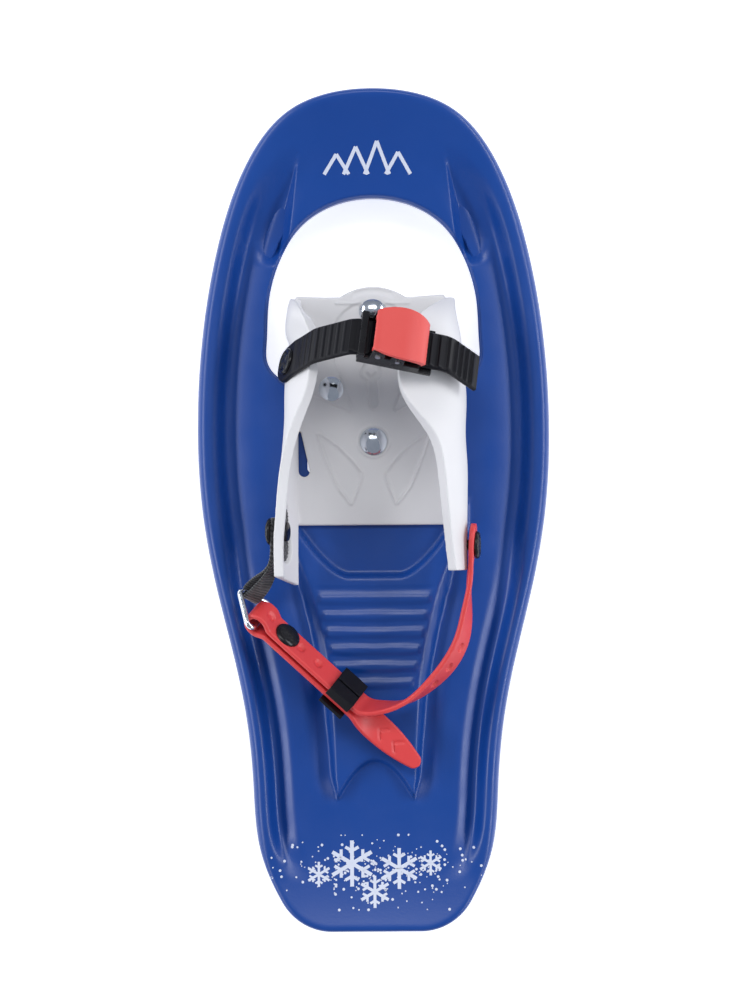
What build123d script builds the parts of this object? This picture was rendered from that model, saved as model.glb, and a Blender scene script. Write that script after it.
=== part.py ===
from build123d import *
import math
import os

# A child's right-foot snowshoe lying on its sole.  Millimetres, +X to the wearer's right,
# +Y towards the toe, +Z up.  The origin is on the floor, under the middle of the deck.

# ---------------------------------------------------------------- deck
DECK_LENGTH = 483.0
NOSE = DECK_LENGTH / 2
# Right half of the deck's outline, from the tip of the nose to the tail's rounded corner.
OUTLINE = [
    (0, NOSE), (46.7, 229.5), (73.6, 195), (89.1, 149), (98.5, 92), (100.8, 46), (98.5, 0),
    (90.5, -45.5), (79.4, -91.4), (72.6, -130), (70.2, -160), (66.7, -194.5), (54, -225),
]
TAIL_DIRECTION = (-0.5, -0.866)
TAIL_CORNER_END = (25.4, -NOSE)
# Right half of the toe hole, from its front to its square rear edge.
HOLE_FRONT = [(0, 178), (26.4, 172.2), (42.1, 160.7), (52.8, 143.5), (59.5, 120), (61, 95)]
HOLE_REAR = [(61, 84), (54, 74), (44, 65)]
ROCKER_RADIUS = 260.0
NOSE_START = 110.0
TAIL_START = -170.0
HALF_SLAB = 115.0
RIM_WIDTH = 9.0
RIM_LOW, RIM_HIGH = 11.0, 26.0
GROOVE_WIDTH = 13.0
GROOVE_LOW, GROOVE_HIGH = 12.0, 17.0
PLATE_LOW, PLATE_HIGH = 16.0, 21.0
RAIL_INSET = 14.0
RAIL_WIDTH = 5.0
RAIL_FRONT, RAIL_REAR = 150.0, -195.0
HOLE_LIP = 4.0
WELL_HALF_WIDTH = 38.0
WELL_REAR = 20.0
PANEL_HIGH = 26.5
PANEL_FRONT, PANEL_WAIST, PANEL_REAR = -38.7, -115.0, -163.6
RIB_HIGH = 28.0
RIB_FIRST, RIB_PITCH, RIB_COUNT, RIB_WIDTH = -52.3, 9.65, 6, 4.6
NOSE_PANEL_HIGH = 26.0

# ---------------------------------------------------------------- pivot and crampon
AXLE_Y, AXLE_Z = 67.0, 8.0
AXLE_RADIUS = 3.0
AXLE_HALF_LENGTH = 50.0
BOSS_INNER, BOSS_OUTER, BOSS_RADIUS = 38.5, 48.0, 7.0
BOSS_WEB_REAR, BOSS_WEB_FRONT, BOSS_WEB_LOW, BOSS_WEB_HIGH = 50.0, 64.5, 5.0, 17.0
CAP_RADIUS, CAP_GAP, CAP_LENGTH = 5.0, 0.2, 3.6
RUNNING_GAP = 0.05
BUSH_RADIUS = 5.0
BUSH_FLANGE_RADIUS = 6.5
BUSH_INNER, BUSH_OUTER = 31.0, 37.0
STEEL = 2.0
CRAMPON_HALF_WIDTH = 35.0
CRAMPON_REAR, CRAMPON_FRONT = 26.0, 121.2
CRAMPON_TOP = 21.3
TOOTH_TIP = 1.0
TOOTH_ROOT = 9.0
# Lower edge of each side flange between its corners, as (y, z), and the front claws as (x, z).
FLANGE_EDGE = [
    (CRAMPON_REAR, TOOTH_ROOT), (32, TOOTH_TIP), (41, TOOTH_ROOT), (50, TOOTH_TIP), (77, TOOTH_TIP),
    (86, TOOTH_ROOT), (95, TOOTH_TIP), (103, TOOTH_ROOT), (113, TOOTH_TIP),
    (CRAMPON_FRONT, TOOTH_ROOT + 3),
]
FRONT_CLAWS = [
    (-28, CRAMPON_TOP - STEEL), (-22, TOOTH_TIP), (-14, TOOTH_ROOT), (14, TOOTH_ROOT),
    (22, TOOTH_TIP), (28, CRAMPON_TOP - STEEL),
]

# ---------------------------------------------------------------- binding shell
BASE_LOW, BASE_HIGH = 21.3, 25.3
BASE_REAR, BASE_FRONT = -9.5, 119.5
BASE_HALF_WIDTH = 46.0
FRONT_ARC_CENTRE, FRONT_ARC_RADIUS = 94.0, 33.0
WING_THICKNESS = 3.5
# Each wing is a strip of soft sheet: (y, [base, middle, shoulder, free edge as (x, z)]).
RIGHT_WING = [
    (119.5, [(44.5, 23.3), (45.5, 27), (44, 31), (42, 34)]),
    (108, [(44.5, 23.3), (46, 40), (40, 52), (25, 60)]),
    (98, [(44.5, 23.3), (48, 43), (38, 61), (17, 66)]),
    (87, [(44.5, 23.3), (49, 45), (38, 64), (15, 69.5)]),
    (76, [(44.5, 23.3), (50, 46), (38, 66), (14, 72.5)]),
    (62, [(44.5, 23.3), (51, 46), (39, 67), (18, 76)]),
    (42, [(44.5, 23.3), (50.5, 44), (43, 62), (33, 74)]),
    (22, [(44.5, 23.3), (51.5, 42), (47, 58), (38.5, 70)]),
    (-4, [(44.5, 23.3), (51, 42), (49, 55), (41, 66)]),
    (-14, [(46, 31), (50.5, 42), (50, 53), (42, 64)]),
    (-35, [(47, 36), (50.5, 44), (50.2, 53), (44.5, 62)]),
]
LEFT_WING = [
    (119.5, [(-44.5, 23.3), (-45.5, 27), (-45, 31), (-44, 34)]),
    (110, [(-44.5, 23.3), (-47.5, 33), (-44.5, 42), (-38.5, 49)]),
    (98, [(-44.5, 23.3), (-47.5, 31), (-38.6, 46.5), (-34.2, 54)]),
    (93.5, [(-44.5, 23.3), (-46, 32), (-40.2, 45.5), (-34, 57.5)]),
    (84, [(-44.5, 23.3), (-47, 35), (-40.8, 50.5), (-34.2, 63.8)]),
    (70, [(-44.5, 23.3), (-48.4, 42), (-42.6, 57), (-35.4, 67.5)]),
    (54, [(-44.5, 23.3), (-48.6, 42), (-46.8, 57), (-41.5, 69)]),
    (34, [(-44.5, 23.3), (-48.4, 40), (-49.8, 55), (-48.5, 67.5)]),
    (16, [(-44.5, 23.3), (-48.4, 38), (-51, 52), (-52, 65.5)]),
    (-5, [(-44.5, 23.3), (-48.5, 38), (-52, 52), (-54, 64)]),
    (-15, [(-44.5, 32), (-48.5, 42), (-52, 52), (-55, 62)]),
    (-38, [(-44.5, 34), (-48, 42), (-51.5, 51), (-55, 60)]),
]
# Teardrop slot beside the left wing: narrow end, then round end, as (x, y, radius).
SLOT_ENDS = [(-41.6, 43, 1.0), (-39.6, 23, 3.0)]
# Oval pocket in the left arm's inner face.
POCKET_PLACE = (-49.6, -14.0, 50.0)
POCKET_LENGTH, POCKET_HEIGHT, POCKET_DEPTH = 34.0, 15.0, 1.6
POCKET_LEAN = math.radians(21)

# ---------------------------------------------------------------- bolts
BOLT_PLACES = [(0, 38.5), (-24, 68.5), (24, 68.5), (0, 113)]
BOLT_RADIUS = 3.0
BOLT_HOLE_RADIUS = 3.2
HEAD_RADIUS, HEAD_HEIGHT = 7.9, 3.4
NECK_SIDE, NECK_HEIGHT = 6.0, 3.0
BOLT_TIP = 11.5
NUT_HEX_SHARE, NUT_COLLAR_SHARE = 0.75, 0.9
WASHER_RADIUS, WASHER_HEIGHT = 6.0, 1.2
NUT_ACROSS_FLATS, NUT_HEIGHT = 10.0, 6.0

# ---------------------------------------------------------------- toe strap and its buckle
ARCH_Y = 56.5
ARCH_LEAN = 23.7
ARCH_YAW = 7.4
STRAP_WIDTH = 22.0
STRAP_THICKNESS = 3.0
# The toe strap's middle line in the plane of its arch, as (along, up), and its bends' radii.
STRAP_POINTS = [(-53.6, 41), (-46, 59.5), (-37, 75.5), (-15, 94.79), (38, 85.45), (58, 62)]
STRAP_RADII = [20, 20, 12, 12]
TOOTH_PITCH, TOOTH_HEIGHT, TOOTH_LENGTH, TOOTH_SHIFT = 5.0, 1.5, 3.5, 1.0
TOE_RIVET_ALONG, TOE_RIVET_DEPTH = 9.7, 5.3
RIVET_HEAD_RADIUS, RIVET_HEAD_HEIGHT = 7.8, 2.6
BUCKLE_FROM_BEND = 7.0
FLOOR_LOW, FLOOR_HIGH = -4.5, -2.0
FLOOR_START, FLOOR_END = -4.0, 38.5
WALL_INNER, WALL_OUTER = 11.6, 13.6
WALL_START, WALL_END, WALL_TOP = -4.0, 31.0, 2.5
LEVER_PIN_ALONG, LEVER_PIN_UP, LEVER_PIN_RADIUS = 6.0, 7.6, 1.5
PAWL_PIN_ALONG, PAWL_PIN_UP, PAWL_PIN_RADIUS = 17.5, 6.0, 1.25
EAR_RADIUS = 4.0
PIN_HALF_LENGTH = 14.6
LEVER_HALF_WIDTH = 15.5
LEVER_LUG_INNER, LEVER_LUG_OUTER = 8.6, 11.2
LEVER_TOP, LEVER_SKIN = 15.0, 2.4
# Outer and inner line of the lever's skin, as (along, up), and its end's length and half widths.
LEVER_OUTER = [(1.6, 11.8), (4, 14), (9, LEVER_TOP), (20, LEVER_TOP), (28, 12.2), (33.5, 6.5)]
LEVER_INNER = [(31.2, 5.2), (26.5, 10), (19.5, LEVER_TOP - LEVER_SKIN),
               (9, LEVER_TOP - LEVER_SKIN), (5, 12.3), (3.4, 11.9)]
LEVER_START, LEVER_MIDDLE, LEVER_END = 2.0, 17.0, 33.5
LEVER_START_WIDTH, LEVER_END_WIDTH = 12.0, 12.5
PAWL_HALF_WIDTH = 7.5
PAWL_HUB_RADIUS = 2.9
# The pawl's toothed arm and its release tab, as (along, up).
PAWL_ARM = [(17.5, 3.4), (17.5, 8.6), (25.4, 4.2), (25.0, 1.75), (24.3, 1.75), (23.4, 3.5)]
PAWL_TAB = [(18, 4.2), (18, 8.8), (11.5, 9.4), (11.5, 7.2), (15, 6.6)]
SPRING_RADIUS, SPRING_GAP, SPRING_END = 2.4, 0.4, 11.2
BRIDGE_HIGH, BRIDGE_LOW, BRIDGE_LENGTH = 6.0, 3.6, 4.0
BUCKLE_RIVET_RADIUS, BUCKLE_RIVET_HEAD, BUCKLE_RIVET_DEPTH = 1.5, 3.0, 5.0
BUCKLE_RIVETS_ALONG = [34.5]
BUCKLE_RIVETS_ACROSS = [-6.0, 6.0]

# ---------------------------------------------------------------- heel strap
SWING_Y, SWING_Z = -16.9, 50.0
SWING_YAW = 3.95
SWING_PIN_RADIUS = 3.0
RIGHT_STRAP_OFFSET = 55.2
LEFT_WEBBING_OFFSET = -60.5
HEEL_WIDTH = 17.0
HEEL_THICKNESS = 3.0
# Right part of the heel strap: (middle point, direction across the strap).
HEEL_RIGHT = [
    ((53.6, -42, 48.5), (0, 0, 1)),
    ((52, -58, 47.5), (-0.25, 0, 0.97)),
    ((49.5, -73, 46.5), (-0.4, 0.15, 0.9)),
    ((42, -88, 45.5), (-0.35, 0.3, 0.88)),
    ((31, -100, 44.5), (-0.2, 0.25, 0.94)),
    ((17, -109.5, 45.5), (0, 0.05, 1)),
    ((4, -112.5, 45.5), (-0.1, -0.3, 0.95)),
]
KEEPER_PLACE = (-18.1, -104.6, 42.0)
RUN_DIRECTION = (-0.735, 0.678, 0.03)
RUN_TILT = 52.0
LAYER_GAP = 2.0
RUN_START, RUN_END = -10.0, 55.0
LOOP_CENTRE, LOOP_RADIUS = 63.0, 5.5
LOCK_ALONG = 45.6
LOCK_RADIUS, LOCK_HEAD, LOCK_TAIL = 7.8, 2.2, 1.6
HOLE_FIRST, HOLE_PITCH, HOLE_RADIUS = 21.5, 13.2, 2.6
# Stations of the tongue beyond the run: (along, drop, half width, tilt in degrees).
TONGUE = [(-8, 0, 8.5, RUN_TILT), (-10, 0, 8.5, RUN_TILT), (-15, 0.5, 8.5, 40), (-26, 2.5, 8.5, 15),
          (-38, 4, 7.9, 8), (-50, 5, 6, 8), (-60, 6, 2.5, 8)]
KEEPER_LENGTH = 16.5
KEEPER_WALL = 2.3
KEEPER_GAP = 0.4
# Opening along the keeper's upper side, between two levels across the strap's layers.
KEEPER_SLIT = (-4.4, 0.6)
RING_WIRE = 1.6
# Ring corners in the frame of the heel strap's run: the webbing's corner, then the strap's side.
RING_CORNERS = [(84, -2, 4), (LOOP_CENTRE, 15.5, 0), (LOOP_CENTRE, -15.5, 0)]
RING_BEND = 3.2
WEBBING_WIDTH = 11.0
WEBBING_SHIFT = 3.2
WEBBING_THICKNESS = 1.6
WEBBING_GAP = 0.2
WEBBING_PAST_PIN, WEBBING_FREE = 8.0, 15.0
HEEL_RIVET_TAIL, WEBBING_RIVET_TAIL = 47.2, -49.0
WRAP_RADIUS = 2.9
RIVET_TAIL_RADIUS, RIVET_TAIL_HEIGHT = 5.5, 1.8


# ---------------------------------------------------------------- helpers
def prism(sketch, low=-5.0, high=90.0):
    """Vertical solid over a plan outline."""
    return Pos(0, 0, low) * extrude(sketch, amount=high - low)


def rocker_slab(low, high):
    """Solid between two levels of the sole, flat in the middle, curved up at nose and tail."""
    nose_angle, tail_angle = 38, 20
    with BuildSketch(Plane.YZ) as section:
        with BuildLine():
            for level in (low, high):
                radius = ROCKER_RADIUS - level
                CenterArc((NOSE_START, ROCKER_RADIUS), radius, -90, nose_angle)
                CenterArc((TAIL_START, ROCKER_RADIUS), radius, -90 - tail_angle, tail_angle)
                Line((TAIL_START, level), (NOSE_START, level))
            for start, angle in ((NOSE_START, nose_angle), (TAIL_START, -tail_angle)):
                ends = [arc_end(start, ROCKER_RADIUS - level, angle) for level in (low, high)]
                Line(*ends)
        make_face()
    return extrude(section.sketch, amount=HALF_SLAB, both=True)


def arc_end(start, radius, angle):
    """Point on a rocker arc, as (y, z), at an angle from where the arc begins."""
    turn = math.radians(angle)
    return (start + radius * math.sin(turn), ROCKER_RADIUS - radius * math.cos(turn))


def smooth_curve(points, directions):
    """Smooth curve through points, with a direction given at each end."""
    return Spline(*points, tangents=directions, tangent_scalars=(1, 1))


def moved_points(points, directions, distance):
    """Points along a smooth curve, moved to the right of its direction by a distance."""
    curve = smooth_curve(points, directions)
    steps = 2 * len(points)
    moved = []
    for step in range(steps + 1):
        along = curve % (step / steps)
        moved.append(curve @ (step / steps) + Vector(along.Y, -along.X) * distance)
    return moved


def deck_outline(inset=0.0):
    """Plan outline of the deck, moved inwards by an inset."""
    directions = [(1, 0), TAIL_DIRECTION]
    side = moved_points(OUTLINE, directions, inset) if inset else OUTLINE
    tail_corner_end = (TAIL_CORNER_END[0], TAIL_CORNER_END[1] + inset)
    with BuildSketch() as plan:
        with BuildLine():
            smooth_curve(side, directions)
            TangentArc(side[-1], tail_corner_end, tangent=TAIL_DIRECTION)
            Line(tail_corner_end, (0, tail_corner_end[1]))
            mirror(about=Plane.YZ)
        make_face()
    return plan.sketch


def hole_outline(outset=0.0):
    """Plan outline of the toe hole, its front and sides moved outwards by an outset."""
    directions = [(1, 0), (0, -1)]
    front = moved_points(HOLE_FRONT, directions, -outset) if outset else HOLE_FRONT
    rear = [(x + outset, y) for x, y in HOLE_REAR]
    with BuildSketch() as plan:
        with BuildLine():
            smooth_curve(front, directions)
            Polyline(front[-1], *rear, (0, rear[-1][1]))
            mirror(about=Plane.YZ)
        make_face()
    return plan.sketch


def cylinder_between(start, end, radius):
    """Solid cylinder from one point to another."""
    axis = Vector(*end) - Vector(*start)
    plane = Plane(origin=start, z_dir=axis)
    return extrude(plane * Circle(radius), amount=axis.length)


def ring_part(outer, inner):
    """Solid ring between two plan outlines."""
    return prism(outer) - prism(inner)


def polygon(points):
    """Flat face with straight sides."""
    return make_face(Polyline(*points, close=True))


def save(part, name):
    """Write one node's solids to its STEP file."""
    part.label = name
    export_step(part, os.path.join("parts", name + ".step"))


def group(parts):
    """Separate solids kept together as one node."""
    return Compound(children=[solid for part in parts for solid in part.solids()])


# ---------------------------------------------------------------- deck
def make_deck():
    """The moulded deck: rim, groove, plate, raised panels, ribs, rails and axle bosses."""
    groove_in = RIM_WIDTH + GROOVE_WIDTH
    rim = rocker_slab(RIM_LOW, RIM_HIGH) & ring_part(
        deck_outline(), deck_outline(RIM_WIDTH))
    groove = rocker_slab(GROOVE_LOW, GROOVE_HIGH) & ring_part(
        deck_outline(RIM_WIDTH - 1), deck_outline(groove_in + 1))
    plate = rocker_slab(PLATE_LOW, PLATE_HIGH) & prism(deck_outline(groove_in - 1))
    deck = rim + groove + plate + make_rails() + make_raised_panels()
    hole = hole_outline()
    deck -= prism(hole)
    deck -= Pos(0, (WELL_REAR + HOLE_REAR[-1][1]) / 2 + 1, PLATE_HIGH) * Box(
        2 * WELL_HALF_WIDTH, HOLE_REAR[-1][1] - WELL_REAR + 2, 4 * PLATE_HIGH)
    deck += make_hole_lip()
    for side in (-1, 1):
        deck += make_boss(side)
    deck -= cylinder_between((-90, AXLE_Y, AXLE_Z), (90, AXLE_Y, AXLE_Z), AXLE_RADIUS)
    return deck


def make_rails():
    """Traction rails under the grooves, one along each side."""
    outer = deck_outline(RAIL_INSET)
    inner = deck_outline(RAIL_INSET + RAIL_WIDTH)
    length = RAIL_FRONT - RAIL_REAR
    stretch = Pos(0, (RAIL_FRONT + RAIL_REAR) / 2, 40) * Box(2 * HALF_SLAB, length, 100)
    return rocker_slab(0, GROOVE_LOW + 1) & ring_part(outer, inner) & stretch


def make_raised_panels():
    """Nose panel, tapered tail panel and its cross ribs."""
    nose_plan = polygon([(-36, 212), (36, 212), (52, 150), (-52, 150)])
    nose_panel = rocker_slab(PLATE_LOW + 1, NOSE_PANEL_HIGH) & prism(nose_plan)
    tail_plan = polygon([
        (-33, PANEL_FRONT), (33, PANEL_FRONT), (41, PANEL_FRONT + 9), (27, PANEL_WAIST),
        (21.5, PANEL_REAR), (15, PANEL_REAR + 8), (0, PANEL_REAR + 19), (-15, PANEL_REAR + 8),
        (-21.5, PANEL_REAR), (-27, PANEL_WAIST), (-41, PANEL_FRONT + 9)])
    panels = nose_panel + prism(tail_plan, PLATE_LOW + 1, PANEL_HIGH)
    for index in range(RIB_COUNT):
        y = RIB_FIRST - index * RIB_PITCH
        half_width = 33 - 2 * index
        panels += Pos(0, y, (PLATE_HIGH + RIB_HIGH) / 2) * Box(
            2 * half_width, RIB_WIDTH, RIB_HIGH - PLATE_HIGH)
    return panels


def make_hole_lip():
    """Down-turned lip round the front and sides of the toe hole."""
    hole = hole_outline()
    outer = hole_outline(HOLE_LIP)
    front = Pos(0, 85 + 60, 40) * Box(2 * HALF_SLAB, 120, 100)
    return rocker_slab(PLATE_LOW - 5, PLATE_LOW + 1) & ring_part(outer, hole) & front


def make_boss(side):
    """Bearing boss under the deck for one end of the pivot axle."""
    width = BOSS_OUTER - BOSS_INNER
    boss = cylinder_between((side * BOSS_INNER, AXLE_Y, AXLE_Z), (side * BOSS_OUTER, AXLE_Y, AXLE_Z),
                            BOSS_RADIUS)
    middle = (side * (BOSS_INNER + width / 2), (BOSS_WEB_REAR + BOSS_WEB_FRONT) / 2,
              (BOSS_WEB_LOW + BOSS_WEB_HIGH) / 2)
    web = Pos(*middle) * Box(width, BOSS_WEB_FRONT - BOSS_WEB_REAR, BOSS_WEB_HIGH - BOSS_WEB_LOW)
    return boss + web


# ---------------------------------------------------------------- pivot and crampon
def make_axle():
    """Steel pivot axle, pressed in the deck's bosses."""
    return cylinder_between((-AXLE_HALF_LENGTH, AXLE_Y, AXLE_Z), (AXLE_HALF_LENGTH, AXLE_Y, AXLE_Z),
                            AXLE_RADIUS)


def make_axle_caps():
    """Push-on caps that keep the axle in its bosses."""
    caps = []
    for side in (-1, 1):
        start = side * (BOSS_OUTER + CAP_GAP)
        end = start + side * CAP_LENGTH
        cap = cylinder_between((start, AXLE_Y, AXLE_Z), (end, AXLE_Y, AXLE_Z), CAP_RADIUS)
        cap -= cylinder_between((start, AXLE_Y, AXLE_Z),
                                (side * AXLE_HALF_LENGTH, AXLE_Y, AXLE_Z), AXLE_RADIUS)
        caps.append(cap)
    return group(caps)


def make_bushes():
    """Flanged nylon bushes in the crampon's flanges, turning on the axle."""
    bushes = []
    for side in (-1, 1):
        inner, face, outer = [(side * x, AXLE_Y, AXLE_Z)
                              for x in (BUSH_INNER, CRAMPON_HALF_WIDTH, BUSH_OUTER)]
        sleeve = cylinder_between(inner, outer, BUSH_RADIUS)
        flange = cylinder_between(face, outer, BUSH_FLANGE_RADIUS)
        bore = cylinder_between(inner, outer, AXLE_RADIUS + RUNNING_GAP)
        bushes.append(sleeve + flange - bore)
    return group(bushes)


def make_crampon():
    """Folded steel crampon: top plate, two toothed side flanges and front claws."""
    length = CRAMPON_FRONT - CRAMPON_REAR
    middle = (CRAMPON_FRONT + CRAMPON_REAR) / 2
    crampon = Pos(0, middle, CRAMPON_TOP - STEEL / 2) * Box(2 * CRAMPON_HALF_WIDTH, length, STEEL)
    with BuildSketch(Plane.YZ) as side_view:
        with BuildLine():
            Polyline((CRAMPON_REAR, CRAMPON_TOP), *FLANGE_EDGE, (CRAMPON_FRONT, CRAMPON_TOP),
                     close=True)
        make_face()
    for start in (-CRAMPON_HALF_WIDTH, CRAMPON_HALF_WIDTH - STEEL):
        crampon += Pos(start, 0, 0) * extrude(side_view.sketch, amount=STEEL)
    with BuildSketch(Plane.XZ) as front_view:
        with BuildLine():
            Polyline(*FRONT_CLAWS, close=True)
        make_face()
    crampon += Pos(0, CRAMPON_FRONT, 0) * extrude(front_view.sketch, amount=STEEL)
    for x, y in BOLT_PLACES:
        crampon -= cylinder_between((x, y, 10), (x, y, 30), BOLT_HOLE_RADIUS)
    crampon -= cylinder_between((-60, AXLE_Y, AXLE_Z), (60, AXLE_Y, AXLE_Z), BUSH_RADIUS)
    return crampon


# ---------------------------------------------------------------- binding shell
def wing_section(y, line):
    """Closed wire of a wing's section at one station: its middle line given a thickness."""
    half = WING_THICKNESS / 2
    sides = {1: [], -1: []}
    for index, (x, z) in enumerate(line):
        before = line[max(index - 1, 0)]
        after = line[min(index + 1, len(line) - 1)]
        run = math.hypot(after[0] - before[0], after[1] - before[1])
        normal = ((after[1] - before[1]) / run, (before[0] - after[0]) / run)
        for side, points in sides.items():
            points.append((x + side * half * normal[0], y, z + side * half * normal[1]))
    return Wire.make_polygon(sides[1] + sides[-1][::-1], close=True)


def make_wing(stations):
    """One side wing with its rearward arm, built from section to section."""
    return Solid.make_loft([wing_section(y, line) for y, line in stations], ruled=True)


def make_binding_shell():
    """Soft binding moulding: base plate, wings, slot, window and rivet holes."""
    length = BASE_FRONT - BASE_REAR
    base = Pos(0, (BASE_FRONT + BASE_REAR) / 2, (BASE_LOW + BASE_HIGH) / 2) * Box(
        2 * BASE_HALF_WIDTH, length, BASE_HIGH - BASE_LOW)
    base += cylinder_between((0, FRONT_ARC_CENTRE, BASE_LOW), (0, FRONT_ARC_CENTRE, BASE_HIGH),
                             FRONT_ARC_RADIUS)
    shell = base + make_wing(RIGHT_WING) + make_wing(LEFT_WING)
    narrow, wide = [
        cylinder_between((x, y, BASE_LOW - 5), (x, y, BASE_HIGH + 3), radius)
        for x, y, radius in SLOT_ENDS]
    shell -= narrow + wide
    for x, y in BOLT_PLACES:
        shell -= Pos(x, y, BASE_HIGH) * Box(NECK_SIDE, NECK_SIDE, 2 * NECK_HEIGHT)
        shell -= cylinder_between((x, y, 10), (x, y, 30), BOLT_HOLE_RADIUS)
    shell -= make_pocket()
    for rivet in (make_heel_rivet(), make_webbing_rivet(), make_toe_rivet()):
        shell -= rivet
    return shell


def make_pocket():
    """Shallow oval pocket in the left arm's inner face, for the rivet's tail."""
    straight = POCKET_LENGTH - POCKET_HEIGHT
    pocket = extrude(SlotCenterToCenter(straight, POCKET_HEIGHT), amount=POCKET_DEPTH + 5)
    lean = Plane(origin=POCKET_PLACE, x_dir=(0, 1, 0),
                 z_dir=(math.cos(POCKET_LEAN), 0, math.sin(POCKET_LEAN)))
    return lean * Pos(0, 0, -POCKET_DEPTH) * pocket


# ---------------------------------------------------------------- bolts, washers, nuts
def make_bolts():
    """Domed carriage bolts with square necks."""
    bolts = []
    dome_radius = (HEAD_RADIUS ** 2 + HEAD_HEIGHT ** 2) / (2 * HEAD_HEIGHT)
    for x, y in BOLT_PLACES:
        ball = Pos(x, y, BASE_HIGH + HEAD_HEIGHT - dome_radius) * Sphere(dome_radius)
        head = ball & cylinder_between((x, y, BASE_HIGH), (x, y, BASE_HIGH + 10), HEAD_RADIUS)
        neck = Pos(x, y, BASE_HIGH - NECK_HEIGHT / 2) * Box(NECK_SIDE, NECK_SIDE, NECK_HEIGHT)
        shank = cylinder_between((x, y, BOLT_TIP), (x, y, BASE_HIGH), BOLT_RADIUS)
        bolts.append(head + neck + shank)
    return group(bolts)


def make_washers():
    """Plain washers under the crampon's top plate."""
    top = CRAMPON_TOP - STEEL
    washers = []
    for x, y in BOLT_PLACES:
        disc = cylinder_between((x, y, top - WASHER_HEIGHT), (x, y, top), WASHER_RADIUS)
        hole = cylinder_between((x, y, top - 5), (x, y, top + 1), BOLT_HOLE_RADIUS)
        washers.append(disc - hole)
    return group(washers)


def make_nuts():
    """Lock nuts: a hexagon with a round collar."""
    top = CRAMPON_TOP - STEEL - WASHER_HEIGHT
    nuts = []
    for x, y in BOLT_PLACES:
        hexagon = RegularPolygon(NUT_ACROSS_FLATS / 2, 6, major_radius=False)
        height = NUT_HEX_SHARE * NUT_HEIGHT
        nut = Pos(x, y, top - height) * extrude(hexagon, amount=height)
        nut += cylinder_between((x, y, top - NUT_HEIGHT), (x, y, top - height + 1),
                                NUT_COLLAR_SHARE * NUT_ACROSS_FLATS / 2)
        nut -= cylinder_between((x, y, top - 2 * NUT_HEIGHT), (x, y, top + 1), BOLT_RADIUS)
        nuts.append(nut)
    return group(nuts)


# ---------------------------------------------------------------- toe strap and buckle
def arch_plane():
    """Plane of the toe strap's arch: along to the right, up, and the normal to the rear."""
    lean, yaw = math.radians(ARCH_LEAN), math.radians(ARCH_YAW)
    along = Vector(math.cos(yaw), -math.sin(yaw), 0)
    across = Vector(math.sin(yaw), math.cos(yaw), 0)
    up = across * math.sin(lean) + Vector(0, 0, math.cos(lean))
    return Plane(origin=(0, ARCH_Y, 0), x_dir=along, z_dir=along.cross(up))


def buckle_plane():
    """Buckle's own frame: x along the strap, y across it towards the toe, z outwards."""
    arch = arch_plane()
    place, run = buckle_place()
    along = arch.x_dir * run.X + arch.y_dir * run.Y
    outward = arch.y_dir * run.X - arch.x_dir * run.Y
    origin = arch.origin + arch.x_dir * place.X + arch.y_dir * place.Y
    return Plane(origin=origin, x_dir=along, z_dir=outward)


def buckle_place():
    """Where the buckle begins on the toe strap's straight stretch, and that stretch's direction."""
    bend, end = Vector(*STRAP_POINTS[3]), Vector(*STRAP_POINTS[4])
    run = (end - bend).normalized()
    return bend + run * BUCKLE_FROM_BEND, run


def strap_rivet_cylinder(start, end, radius):
    """Cylinder square to the toe strap's left end, between two depths inside its middle line."""
    arch = arch_plane()
    first, second = Vector(*STRAP_POINTS[0]), Vector(*STRAP_POINTS[1])
    run = (second - first).normalized()
    place = first + run * TOE_RIVET_ALONG
    ends = []
    for depth in (start, end):
        spot = place + Vector(run.Y, -run.X) * depth
        ends.append(arch.origin + arch.x_dir * spot.X + arch.y_dir * spot.Y)
    return cylinder_between(tuple(ends[0]), tuple(ends[1]), radius)


def make_toe_strap():
    """Toothed toe strap: a curved band whose outer side carries a row of ramped teeth."""
    arch = arch_plane()
    path = FilletPolyline(*STRAP_POINTS, radius=STRAP_RADII)
    band = extrude(arch * trace(path, STRAP_THICKNESS), amount=STRAP_WIDTH / 2, both=True)
    half = STRAP_THICKNESS / 2
    tooth = polygon([(0, half - 0.4), (0, half + TOOTH_HEIGHT), (TOOTH_LENGTH, half),
                     (TOOTH_LENGTH, half - 0.4)])
    crest = path.param_at_point(buckle_place()[0]) * path.length + TOOTH_SHIFT
    first = crest - math.floor((crest - 32) / TOOTH_PITCH) * TOOTH_PITCH
    count = math.floor((path.length - 4 - first) / TOOTH_PITCH)
    for index in range(count):
        place = first + index * TOOTH_PITCH
        spot = path.position_at(place / path.length)
        run = path.tangent_at(place / path.length)
        turned = Pos(spot.X, spot.Y) * Rot(0, 0, math.degrees(math.atan2(run.Y, run.X))) * tooth
        band += extrude(arch * turned, amount=STRAP_WIDTH / 2 - 1, both=True)
    return band - strap_rivet_cylinder(-STRAP_WIDTH, STRAP_WIDTH, SWING_PIN_RADIUS)


def make_toe_rivet():
    """Button rivet that holds the toe strap on the left wing."""
    face = -STRAP_THICKNESS / 2
    tail = TOE_RIVET_DEPTH
    head = strap_rivet_cylinder(face - RIVET_HEAD_HEIGHT, face, RIVET_HEAD_RADIUS)
    shank = strap_rivet_cylinder(face, tail, SWING_PIN_RADIUS)
    return head + shank + strap_rivet_cylinder(tail, tail + RIVET_TAIL_HEIGHT, RIVET_TAIL_RADIUS)


def buckle_box(along, across, up):
    """Box in the buckle's frame, given each side's low and high value."""
    size = [high - low for low, high in (along, across, up)]
    middle = [(high + low) / 2 for low, high in (along, across, up)]
    return buckle_plane() * Pos(*middle) * Box(*size)


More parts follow.
